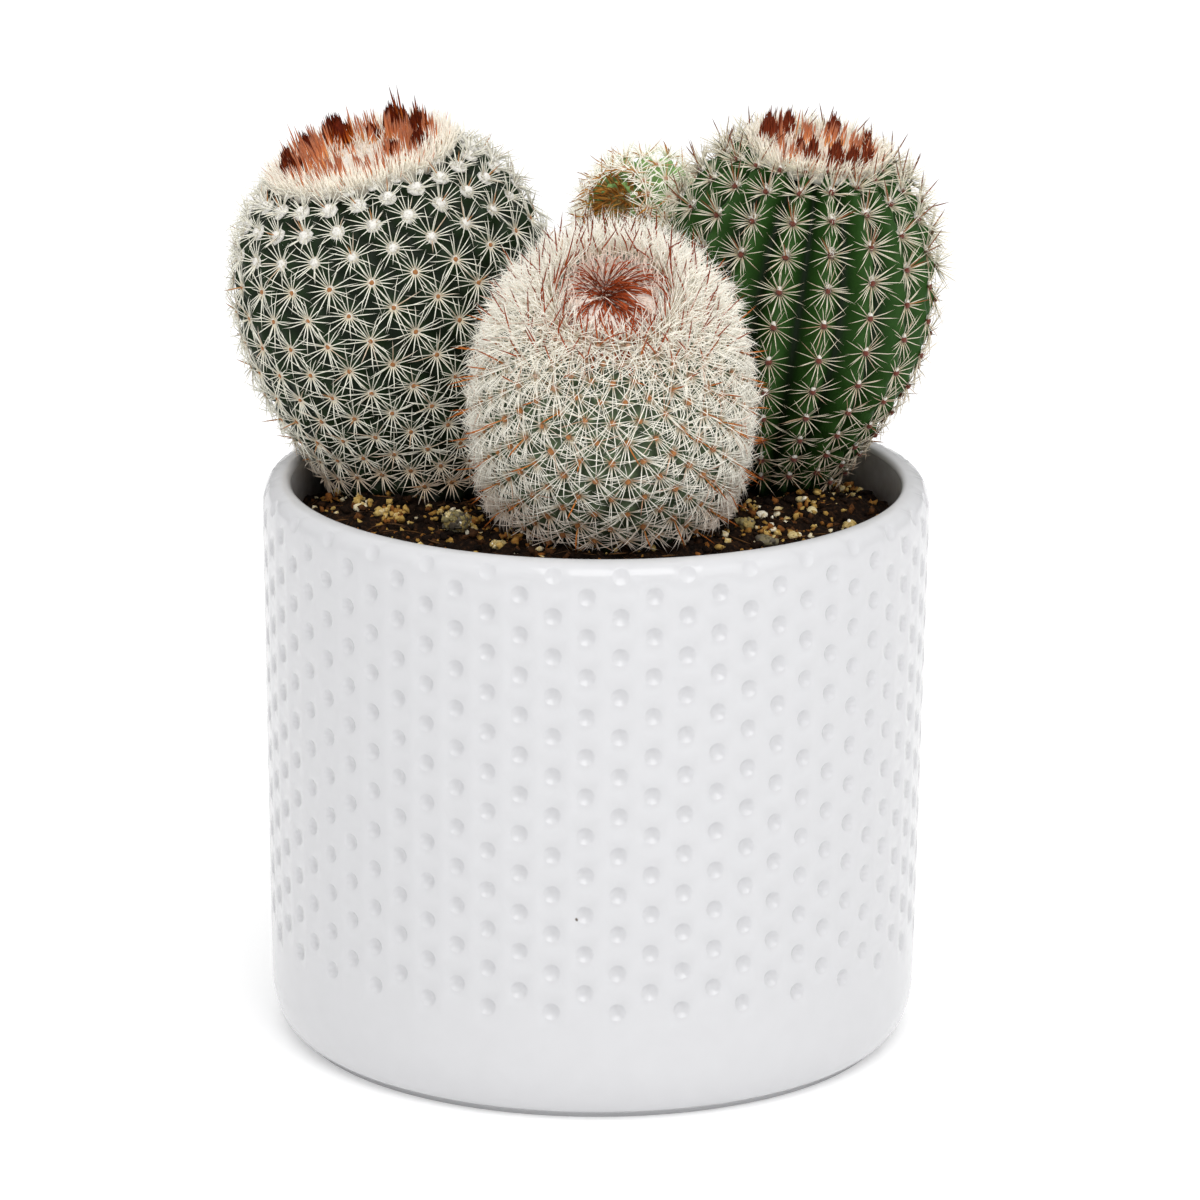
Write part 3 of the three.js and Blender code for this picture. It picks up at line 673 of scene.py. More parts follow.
def wool_material(name, pale, tinted):
    """Areole wool: soft matted hairs, matt with a faint sheen; 'tone' runs from fresh wool to old, browned
    wool."""
    material, tree, _, fibre = new_material(name, 2200, 3)
    tone = add_node(tree, "Attribute", "Fac", attribute_name="tone")
    pair = {0: fibre, 6: [c * 0.72 for c in linear(pale)], 7: pale}
    fresh = add_node(tree, "Mix", 2, pair, data_type="RGBA")
    colour = add_node(tree, "Mix", 2, {0: tone, 6: fresh, 7: tinted}, data_type="RGBA")
    sheen = {"Sheen Weight": 0.25, "Sheen Roughness": 0.5}
    return close_material(material, colour, 0.95, sheen, (fibre, 0.35, 1.0))


# The pot


def pot_profile():
    """The pot's outline as radius and height against its length: up the wall, over the rim, and down the
    inside. On the straight wall the length equals the height."""
    p = POT
    turn = np.linspace(0, np.pi / 2, CORNER_STEPS)
    foot_wall = p["wall_foot"] + p["taper"] * p["corner"]
    low_r = p["foot"] + (foot_wall - p["foot"]) * np.sin(turn)
    low_z = p["corner"] - (p["corner"] - p["foot_height"]) * np.cos(turn)
    shoulder_r = p["wall_foot"] + p["taper"] * p["shoulder"]
    high_r = p["rim_outer"] + (shoulder_r - p["rim_outer"]) * np.cos(turn)
    high_z = p["shoulder"] + (p["height"] - p["shoulder"]) * np.sin(turn)
    lip = 1.3
    lip_r = p["rim_inner"] + lip - lip * np.sin(turn)
    lip_z = p["height"] - lip + lip * np.cos(turn)
    floor_top = p["floor"] + p["floor_corner"]
    in_r = inner_radius(floor_top)
    corner_r = in_r - p["floor_corner"] + p["floor_corner"] * np.cos(turn)
    corner_z = floor_top - p["floor_corner"] * np.sin(turn)
    r = np.concatenate([[p["foot"]], low_r, high_r, lip_r, [inner_radius(60.0)], corner_r])
    z = np.concatenate([[0.0], low_z, high_z, lip_z, [60.0], corner_z])
    length = np.concatenate([[0], np.cumsum(np.hypot(np.diff(r), np.diff(z)))])
    return r, z, length - length[CORNER_STEPS] + p["corner"]


def ring_points(radii, heights, angle):
    """Level rings of points round the pot's axis."""
    r, z = np.asarray(radii)[:, None], np.asarray(heights)[:, None]
    return np.stack([r * np.cos(angle), r * np.sin(angle), z + 0 * angle], -1)


def build_pot(settings):
    """The pot. Its wall is a lattice of cells, with every other column half a cell higher. Each cell has a
    round hollow of depth * (1 - (q / q0) ** 2) at the distance q from its middle, where q0 is the dimple's
    radius."""
    shape = Shape()
    glazed, bare, shaded_peat = 0, 1, 2  # material slots
    r_line, z_line, s_line = pot_profile()
    columns, pitch = settings.columns, settings.pitch / MM
    turn = 2 * np.pi / columns
    low, rows = LATTICE["low"], LATTICE["rows"]
    width = turn * LATTICE["radius"]

    def wall(x, s, inward):
        """Points of the outside at x mm round from the first column's middle and length s along the outline,
        pressed in square to it."""
        r, z = np.interp(s, s_line, r_line), np.interp(s, s_line, z_line)
        slope_r = np.interp(s + 0.3, s_line, r_line) - np.interp(s - 0.3, s_line, r_line)
        slope_z = np.interp(s + 0.3, s_line, z_line) - np.interp(s - 0.3, s_line, z_line)
        size = np.hypot(slope_r, slope_z)
        r, z = r - inward * slope_z / size, z + inward * slope_r / size
        angle = LATTICE["first"] + x / width * turn
        return np.stack([r * np.cos(angle), r * np.sin(angle), z], -1)

    # One cell: its border has 4 steps on each side, joined to rings round the hollow.
    across = 4
    there, zeros, fours = np.arange(across), np.zeros(across), np.full(across, across)
    edge_x = (np.concatenate([there, fours, across - there, zeros]) / across - 0.5) * width
    edge_y = (np.concatenate([zeros, there, fours, across - there]) / across - 0.5) * pitch
    around = len(edge_x)
    aim = np.arctan2(edge_y / pitch, edge_x / width)
    reach = settings.dimple / MM
    rings = reach * np.array([1.04, 0.92, 0.7, 0.38])  # the first one lies just outside the hollow
    cell_x = np.concatenate([edge_x, (rings[:, None] * np.cos(aim)).ravel(), [0.0]])
    cell_y = np.concatenate([edge_y, (rings[:, None] * np.sin(aim)).ravel(), [0.0]])
    hollow = np.maximum(0, 1 - (np.hypot(cell_x, cell_y) / reach) ** 2)
    hollow[:around] = 0
    steps = len(rings) + 1
    cell_quads = tube_faces(steps, around)
    cell_tris = fan(np.arange((steps - 1) * around, steps * around), steps * around)

    k = np.arange(columns)
    cells = [(c, low + pitch * (j + 0.5 + (c % 2) / 2)) for c in k for j in range(rows + 1 - c % 2)]
    columns_of, middles = np.array(cells).T
    depth = settings.depth / MM * np.where(middles > LATTICE["shallow"], 0.45, 1.0)
    x = columns_of[:, None] * width + cell_x[None]
    s = middles[:, None] + cell_y[None]
    faces = [copies(part, len(cells), len(cell_x)) for part in (cell_quads, cell_tris)]
    shape.add(wall(x, s, depth[:, None] * hollow[None]), *faces)

    # Plain half cells close the odd columns at the bottom and the top of the lattice.
    odd = k[1::2]
    for start in (low, low + pitch * (rows + 0.5)):
        gx, gy = np.meshgrid((np.arange(across + 1) / across - 0.5) * width, np.arange(3) * pitch / across)
        i, j = np.meshgrid(np.arange(2), np.arange(across), indexing="ij")
        a = (i * (across + 1) + j).ravel()
        one = np.stack([a, a + 1, a + across + 2, a + across + 1], -1)
        x = odd[:, None] * width + gx.ravel()[None]
        s = start + np.broadcast_to(gy.ravel()[None], x.shape)
        shape.add(wall(x, s, 0.0), copies(one, len(odd), gx.size))

    # Plain bands below and above, as whole rings.
    count = columns * across
    angle = LATTICE["first"] + (np.arange(count) / across - 0.5) * turn
    top = low + pitch * (rows + 1)
    below = np.concatenate([s_line[: CORNER_STEPS + 1], [(s_line[CORNER_STEPS] + low) / 2, low]])
    outside, inside = s_line[: 3 * CORNER_STEPS + 1], s_line[3 * CORNER_STEPS :]
    above = np.concatenate([[top], outside[outside > top + 0.2]])
    for lengths, slot in ((below, glazed), (above, glazed), (inside, shaded_peat)):
        r, z = np.interp(lengths, s_line, r_line), np.interp(lengths, s_line, z_line)
        shape.add(ring_points(r, z, angle), tube_faces(len(lengths), count), slot=slot)

    def close(height, slot, upward):
        """Fills the last ring with triangles to its middle."""
        ring = np.arange(shape.count - count, shape.count)
        shape.add([[0, 0, height]], tris=fan(ring, shape.count, upward) - shape.count, slot=slot)

    close(POT["floor"], shaded_peat, True)
    # The bare foot: a flat disc inside a narrow glazed edge.
    foot = POT["foot"]
    disc = ring_points([foot, foot - 1.4, foot - 1.8, foot * 0.5], [0.0, 0.0, 0.12, 0.12], angle)
    shape.add(disc, tube_faces(4, count)[:, ::-1], slot=bare)
    close(0.12, bare, False)
    looks = [glaze_material(settings), bisque_material(), shaded_peat_glaze_material(settings)]
    weld(shape.piece("pot_shell", looks, "pot_glaze", ["pot"]), distance_mm=0.02)


def weld(piece, distance_mm):
    """Merges points that lie together, so that neighbouring surfaces share their edges."""
    mesh = bmesh.new()
    mesh.from_mesh(piece.data)
    bmesh.ops.remove_doubles(mesh, verts=mesh.verts, dist=distance_mm * MM)
    mesh.to_mesh(piece.data)
    mesh.free()
    piece.data.update()


# The soil


def fine_soil(x, y):
    """The soil's height with finer lumps than the solids have, and a low mound before the left and right
    heads."""
    fine = np.sin(1.9 * x + 0.7 * np.sin(1.3 * y)) * np.sin(2.1 * y + 1.1 + 0.8 * np.sin(0.9 * x))
    finer = np.sin(4.3 * x + 2.0 * np.sin(1.7 * y + 0.4)) * np.sin(3.7 * y + 1.6 * np.sin(2.3 * x))
    left_mound = 3.2 * np.exp(-(((x + 42) / 11) ** 2) - ((y + 1) / 9) ** 2)
    right_mound = 2.2 * np.exp(-(((x - 45) / 8) ** 2) - ((y - 7) / 8) ** 2)
    return soil_top(x, y) + left_mound + right_mound + 0.42 * fine + 0.26 * finer


def on_soil(many, random):
    """Places spread evenly over the soil, as x and y."""
    radius = np.sqrt(random.uniform(0.0, 1.0, many)) * SOIL_REACH
    angle = random.uniform(0, 2 * np.pi, many)
    return radius * np.cos(angle), radius * np.sin(angle)


SOIL_TONES = [
    (0.00, "#0D0805"),
    (0.25, "#1F130B"),
    (0.42, "#4A2E19"),
    (0.56, "#8A5628"),
    (0.70, "#A8813F"),
    (0.85, "#CDB06A"),
    (1.00, "#F3ECD6"),
]

# Heaps of pale granules: middle, spread, how many, size, lowest and highest tone
HEAPS = [
    ((-36.0, 4.5), 3.4, 70, 1.0, 0.45, 0.85),
    ((-38.5, -10.0), 3.0, 40, 0.9, 0.45, 0.85),
    ((-31.0, 4.0), 2.6, 22, 0.8, 0.5, 0.95),
    ((-28.0, -11.0), 3.6, 40, 0.7, 0.6, 1.0),
    ((-25.0, -17.5), 3.4, 46, 0.8, 0.55, 1.0),
    ((-14.0, -25.0), 4.5, 36, 0.7, 0.4, 0.75),
    ((-45.5, -3.0), 2.2, 10, 0.9, 0.6, 0.9),
    ((33.0, -17.5), 3.0, 26, 0.8, 0.45, 0.95),
    ((30.0, -6.0), 4.0, 18, 0.6, 0.5, 1.0),
    ((41.0, 1.0), 3.5, 18, 0.7, 0.5, 0.95),
    ((48.5, 22.0), 3.0, 34, 0.9, 0.5, 0.85),
    ((12.0, 30.0), 5.0, 30, 0.8, 0.45, 0.9),
    ((-10.0, 45.0), 6.0, 36, 0.8, 0.45, 0.95),
    ((-50.0, 8.0), 3.0, 20, 0.8, 0.45, 0.9),
    ((22.0, 46.0), 5.0, 30, 0.8, 0.45, 0.9),
]

# Loose stones that only lie on top: place, half widths across and up, tone
PEBBLES = [
    ((27.2, 6.0), 1.7, 1.5, 0.58),
    ((45.0, 29.5), 1.9, 1.4, 0.60),
    ((39.8, 4.5), 0.9, 0.7, 0.84),
    ((42.0, -1.5), 1.3, 0.7, 0.86),
    ((32.0, -5.5), 1.4, 0.9, 0.98),
    ((27.7, -10.5), 1.7, 0.7, 0.50),
    ((-44.0, 13.0), 1.8, 1.0, 0.12),
    ((-40.0, 10.5), 1.8, 1.1, 0.14),
    ((-45.5, -4.0), 1.7, 0.8, 0.90),
]


def build_soil(settings):
    """The soil: rings with fine lumps, closed below, and loose crumbs, fibres, pebbles and grit on it."""
    random = np.random.default_rng(7)
    shape = Shape()
    around, rows, edge = 200, 44, (59.15, 58.6)
    angle = np.arange(around) * 2 * np.pi / around
    radii = np.concatenate([edge, np.linspace(SOIL_REACH, 0.8, rows)])
    top = ring_points(radii, np.zeros(len(radii)), angle)
    top[..., 2] = fine_soil(top[..., 0], top[..., 1])
    # Below the edge it narrows towards the pot's floor.
    deep, side = top[:1] * [0.985, 0.985, 0], top[:1] * [0.995, 0.995, 0]
    deep[..., 2], side[..., 2] = 12.5, SOIL["level"] - 6.0
    add_tube(shape, np.concatenate([deep, side, top]))
    shape.piece("soil_bed", [soil_material(settings)], "soil", ["soil"])

    crumbs = Shape()
    many = settings.crumbs
    x, y = on_soil(many, random)
    size = random.uniform(0.35, 1.0, many) ** 1.8 * 1.2
    flat = random.uniform(0.45, 0.9, many)
    tone = np.clip(random.beta(1.0, 3.4, many), 0, 0.66)
    pale = random.uniform(0, 1, many) < 0.24
    tone[pale] = random.uniform(0.5, 0.9, pale.sum())
    size[pale] *= 0.9
    add_on_soil(crumbs, x, y, size, flat, tone, random)
    for (middle_x, middle_y), spread, count, big, low, high in HEAPS:
        x, y = random.normal(middle_x, spread * 0.5, count), random.normal(middle_y, spread * 0.5, count)
        size = big * random.uniform(0.4, 1.1, count)
        lift = 0.9 * np.exp(-((x - middle_x) ** 2 + (y - middle_y) ** 2) / spread**2) * big
        tone = random.uniform(low, high, count)
        add_on_soil(crumbs, x, y, size, random.uniform(0.6, 1.0, count), tone, random, lift)
    look = crumb_material("Bark, peat and pumice crumbs", SOIL_TONES)
    crumbs.piece("soil_crumbs", [look], "soil")

    fibres = Shape()
    many = 430
    x, y = on_soil(many, random)
    turn = random.uniform(0, 2 * np.pi, many)
    lean = random.normal(0.14, 0.25, many)
    heading = unit(np.stack([np.cos(turn), np.sin(turn), lean], -1))
    length = random.uniform(1.5, 6.0, many)
    bend = np.stack([-np.sin(turn), np.cos(turn), np.zeros(many)], -1)
    sag = bend * random.normal(0, 0.4, (many, 1)) * length[:, None] - UP * 0.06 * length[:, None]
    root = np.stack([x, y, fine_soil(x, y) + random.uniform(0.1, 0.8, many)], -1)
    inside = np.hypot(*(root + heading * length[:, None] + sag)[:, :2].T) < 58.3
    width, shade = random.uniform(0.2, 0.5, many), random.uniform(0, 1, many)
    parts = (v[inside] for v in (root, heading, length, width, sag))
    add_strands(fibres, *parts, stops=(0.0, 0.3, 0.6), shade=shade[inside])
    pale, dark = [(0.0, "#5E3C20"), (1.0, "#8A6238")], [(0.0, "#1A100A"), (1.0, "#5E4229")]
    fibres.piece("soil_fibres", [spine_material("Coir and root fibres", pale, dark, 0.85)], "soil")

    pebbles = Shape()
    x, y = np.array([place for place, *_ in PEBBLES], float).T
    wide, high, tone = np.array([sizes for _, *sizes in PEBBLES], float).T
    centre = np.stack([x, y, fine_soil(x, y) + 0.55 * high], -1)
    sizes = np.stack([wide, wide * 0.78, high], -1)
    tilted = unit(random.normal(0, 0.2, (len(x), 3)) + UP)
    add_lumps(pebbles, centre, sizes, tilted, random, segments=16, rows=9, rough=0.07, tone=tone - 0.15)
    look = crumb_material("Loose stones and chips", GRIT_TONES, 0.8)
    pebbles.piece("soil_pebbles", [look], "grit")
    build_stub()
    build_grit(random)


def add_on_soil(shape, x, y, size, flat, tone, random, lift=0.0):
    """Crumbs lying on the soil at x and y, tipped a little, size wide and flat times as tall."""
    inside = np.hypot(x, y) < SOIL_REACH + 0.2
    lift = np.broadcast_to(lift, inside.shape)
    x, y, size, flat, tone, lift = (v[inside] for v in (x, y, size, flat, tone, lift))
    many = len(x)
    up = unit(np.stack([random.normal(0, 0.35, many), random.normal(0, 0.35, many), np.ones(many)], -1))
    centre = np.stack([x, y, fine_soil(x, y) + 0.25 * size * flat + lift], -1)
    sizes = np.stack([size, size * random.uniform(0.6, 1, many), size * flat], -1)
    add_lumps(shape, centre, sizes, up, random, segments=6, rows=2, rough=0.55, tone=tone - 0.1)


def build_stub():
    """A green side shoot that barely shows beside the front head: an egg-shaped lump, half in the soil."""
    shape = Shape()
    random = np.random.default_rng(3)
    x, y = -19.2, -12.0
    middle = np.array([[x, y, float(soil_top(x, y)) + 1.6]])
    up = unit(np.array([[-0.12, 0.0, 1.0]]))
    add_lumps(
        shape, middle, np.array([[1.25, 1.15, 2.9]]), up, random, segments=16, rows=9, rough=0.03, hollow=0.0
    )
    look = flesh_material("Cactus skin side shoot", linear("#93A365"), "#5E6F3F")
    shape.piece("side_shoot", [look], "flesh_front")


# Stones and bits that lie loose on the soil: node, place, radius across, height, tone
GRIT = [
    ("grit_1", (-27, -20), 3.3, 4.4, 0.56),
    ("grit_2", (-18.5, -29), 2.0, 2.4, 0.78),
    ("grit_3", (29, -16), 1.9, 3.0, 0.62),
    ("grit_4", (32.5, -24), 2.4, 2.2, 0.42),
    ("grit_5", (38, -19), 1.6, 1.8, 0.80),
    ("grit_6", (49, -9), 1.7, 2.8, 0.72),
]

GRIT_TONES = [
    (0.00, "#2C2218"),
    (0.35, "#6D665A"),
    (0.55, "#8E8358"),
    (0.70, "#B69A5C"),
    (0.85, "#DCCB98"),
    (1.00, "#F6F0DE"),
]


def build_grit(random):
    """One piece for each stone of the solids: a knobbly stone, and for the first one a heap of small
    granules."""
    stone_look = crumb_material("Weathered pumice grit", GRIT_TONES, 0.85)
    for name, (x, y), size, high, tone in GRIT:
        shape = Shape()
        heap = name == "grit_1"
        middle = np.array([[x, y, float(soil_top(x, y)) + high / 2 - 0.7]])
        body = np.array([[size, size * 0.85, high / 2]])
        tilted = unit(np.array([[0.15, -0.1, 1.0]]))
        core, full = (0.5, 0.7) if heap else (tone - 0.15, 0.86)
        add_lumps(shape, middle, body * full, tilted, random, segments=14, rows=8, rough=0.2, tone=core)
        knobs = 90 if heap else 9
        aim = unit(random.normal(0, 1, (knobs, 3)) + np.array([0, -0.3, 0.5]))
        centre = middle + aim * body * (0.78 if heap else 0.8)
        share = random.uniform(*((0.1, 0.26) if heap else (0.16, 0.34)), (knobs, 1))
        knob = size * share * np.array([[1, 0.9, 0.75]])
        spread = 0.2 if heap else 0.1
        knob_tone = np.clip(tone - 0.2 + random.normal(0, spread, knobs), -0.1, 0.9)
        add_lumps(shape, centre, knob, aim, random, segments=7, rows=3, rough=0.36, tone=knob_tone)
        shape.piece(name + "_stone", [stone_look], "grit", [name])


# The heads' flesh and spines


def build_flesh(head, settings, rows, around, wool_from=2.0):
    """A head's flesh: the smooth body raised by its relief, on a grid of share and angle, with a stump below.
    From the share wool_from upward, wool lies over it."""
    shape = Shape()
    share = np.linspace(0.0, 1.0, rows + 1)[:-1]
    angle = np.arange(around) * 2 * np.pi / around
    s, a = np.meshgrid(share, angle, indexing="ij")
    place, outward, _, _ = head.frame_at(s, a)
    lift = head.relief(s, a)
    rings = place + outward * lift[..., None]
    start, forward, out = head.skin(np.zeros(around), angle)
    deep = start - forward * 9 - out * head.base_radius * 0.25
    # 'hollow' is painted shade, taken from the relief: dark in the hollows between tubercles and, on a ribbed
    # head, down the furrows between ribs.
    low = -head.furrow - head.rib
    hollow = np.clip(1 - (lift - low) / (head.peak * 0.75 - low), 0, 1)
    if head.rib:
        hollow = np.clip(0.85 * (1 - head.crest(a)) ** 3 + 0.2 * hollow, 0, 1)
    # More painted shade darkens the flesh in its last 8 mm above the soil, and the stump below.
    painted_soil_shade = 1 - smooth_step(0.0, 8.0, rings[..., 2] - soil_top(rings[..., 0], rings[..., 1]))
    hollow = np.maximum(hollow, painted_soil_shade)
    rings = np.concatenate([deep[None], rings])
    hollow = np.concatenate([np.ones((1, around)), hollow])
    wool = 0.7 * smooth_step(wool_from, wool_from + 0.14, np.concatenate([[0.0], share]))[:, None]
    add_tube(shape, rings, hollow=hollow, wool=wool)
    look = flesh_material(f"Cactus skin {head.name}", settings.skin, settings.furrow)
    shape.piece(f"{head.name}_flesh", [look], f"flesh_{head.name}", [f"{head.name}_head"])


def areole_places(head, above_soil=1.2, inner=0.92):
    """The areoles that stand clear of the soil, up to the crown's edge: share, angle, place and
    directions."""
    share, angle = head.areoles()
    edge = float(head.share_of_radius(head.crown * inner))
    place, outward, around, up = head.frame_at(share, angle)
    lift = head.relief(share, angle)
    place = place + outward * lift[:, None]
    kept = (share < edge) & (place[:, 2] > soil_top(place[:, 0], place[:, 1]) + above_soil)
    kept &= np.min([o.distance(place) for o in PLANT.values() if o is not head], axis=0) > 0.5
    return [v[kept] for v in (share, angle, place, outward, around, up)]


def star(place, outward, around, up, count, random, rise, rise_spread, root_radius):
    """Roots and headings of count spines that spread from each areole like a star: the i-th of them turns by
    2 pi i / count and a little more, and stands up by the angle rise."""
    many = len(place)
    first = random.uniform(0, 2 * np.pi, (many, 1))
    turn = first + (np.arange(count)[None] + random.uniform(-0.32, 0.32, (many, count))) * 2 * np.pi / count
    slope = np.reshape(rise, (-1, 1)) + np.reshape(rise_spread, (-1, 1)) * random.normal(0, 1, (many, count))
    flat = around[:, None] * np.cos(turn)[..., None] + up[:, None] * np.sin(turn)[..., None]
    heading = flat * np.cos(slope)[..., None] + outward[:, None] * np.sin(slope)[..., None]
    root = place[:, None] + flat * root_radius + outward[:, None] * 0.1
    return root.reshape(-1, 3), heading.reshape(-1, 3)


def spread_out(values, count):
    """Numbers of the areoles, as numbers of their spines."""
    return np.repeat(values, count, axis=0)


def radial_spines(settings, directions, random, star_of, size, lengths, droop, wobble):
    """The white spines of all areoles: roots, headings, lengths and sags. star_of holds star's rise, its
    spread and the root's distance from the areole's middle. A length is radial_length * size * a random
    number from lengths, and a sag is length * (a random step of about wobble - outward * droop)."""
    count = settings.radials
    root, heading = star(*directions, count, random, *star_of)
    length = settings.radial_length / MM * spread_out(size, count) * random.uniform(*lengths, len(root))
    droop = spread_out(np.broadcast_to(droop, size.shape), count)[:, None]
    sag = -spread_out(directions[1], count) * droop * length[:, None]
    return root, heading, length, sag + random.normal(0, wobble, (len(root), 3)) * length[:, None]


def tinted_share(random, many, chance, least, most):
    """Tints for a few strands: 0 for most, and between least and most for the share chance."""
    return (random.uniform(0, 1, many) < chance) * random.uniform(least, most, many)


def darker_near_soil(place):
    """From 1 within 3 mm of the soil to 0 at 15 mm above it: how far the spines are tinted darker towards the
    bottom.
    """
    return 1 - smooth_step(3.0, 15.0, place[:, 2] - soil_top(place[:, 0], place[:, 1]))



def build_left(settings):
    """Level rows of white stars on dark green flesh; the wool turns from white balls under the crown to
    small tan hubs lower down."""
    head = PLANT["left"]
    random = np.random.default_rng(11)
    build_flesh(head, settings, rows=140, around=180)
    share, _, *directions = areole_places(head, above_soil=4.5)
    place, outward, around, up = directions
    young = smooth_step(head.edge - 0.24, head.edge - 0.05, share)
    spines, wool = Shape(), Shape()
    small = np.clip(head.radius_at(share) / head.radius, 0.55, 1) ** 0.5
    star_of = (0.3 + 0.5 * young, 0.17, 0.5)
    root, heading, length, sag = radial_spines(
        settings, directions, random, star_of, small, (0.66, 1.08), droop=0.16, wobble=0.07
    )
    shade = tinted_share(random, len(root), chance=0.05, least=0.2, most=0.6)
    shade = np.maximum(shade, 0.5 * spread_out(darker_near_soil(place), settings.radials))
    add_clear_strands(spines, head, root, heading, length, settings.thickness / MM, sag, shade=shade)
    # One stout central spine on some younger areoles, tan with a brown tip.
    picked = random.uniform(0, 1, len(share)) < 0.15 + 0.5 * young
    rise = up * random.uniform(-0.2, 0.9, (len(share), 1)) + around * random.normal(0, 0.35, (len(share), 1))
    aim = unit(outward * 0.8 + rise)[picked]
    reach = random.uniform(3.2, 5.2, len(aim))
    add_clear_strands(spines, head, place[picked], aim, reach, 0.36, shade=1.0)
    look = spine_material(
        "White spines left",
        [(0.0, "#E9DFC6"), (0.3, "#F6F4E6"), (1.0, "#F4F0E0")],
        [(0.0, "#DCA871"), (0.5, "#C08A5A"), (1.0, "#6A3A24")],
        glow=0.1,
    )
    spines.piece("left_spines", [look], "flesh_left")
    size = 0.62 + 0.65 * young
    lumps = np.stack([size, size, size * (0.55 + 0.3 * young)], -1)
    tone = 1 - smooth_step(0.1, 0.45, young)
    lumps[young < 0.1] *= 0.82
    add_lumps(wool, place + outward * 0.15, lumps, outward, random, segments=8, rows=4, rough=0.12, tone=tone)
    # A paler cushion under each hub, and the spines' pale roots round it.
    low = size[:, None] * [1.45, 1.45, 0.5]
    add_lumps(wool, place - outward * 0.05, low, outward, random, segments=8, rows=3, rough=0.14, tone=0.0)
    fuzzy = young > 0.2
    add_fuzz(wool, place[fuzzy], outward[fuzzy], size[fuzzy] * 1.1, random)
    wool.piece("left_areoles", [wool_material("Areole wool left", "#FBF8F1", "#A06A38")], "crown_wool")


def add_fuzz(shape, centre, outward, size, random):
    """Short hairs all over each small ball of wool, as white as fresh wool."""
    hairs = 22
    aim = unit(random.normal(0, 1, (len(centre), hairs, 3)) + outward[:, None] * 0.6)
    root = centre[:, None] + aim * size[:, None, None] * 0.7
    root, aim = root.reshape(-1, 3), aim.reshape(-1, 3)
    length = random.uniform(0.5, 1.0, len(root)) * spread_out(size, hairs)
    add_strands(shape, root, aim, length, 0.16, random.normal(0, 0.25, (len(root), 3)) * length[:, None])


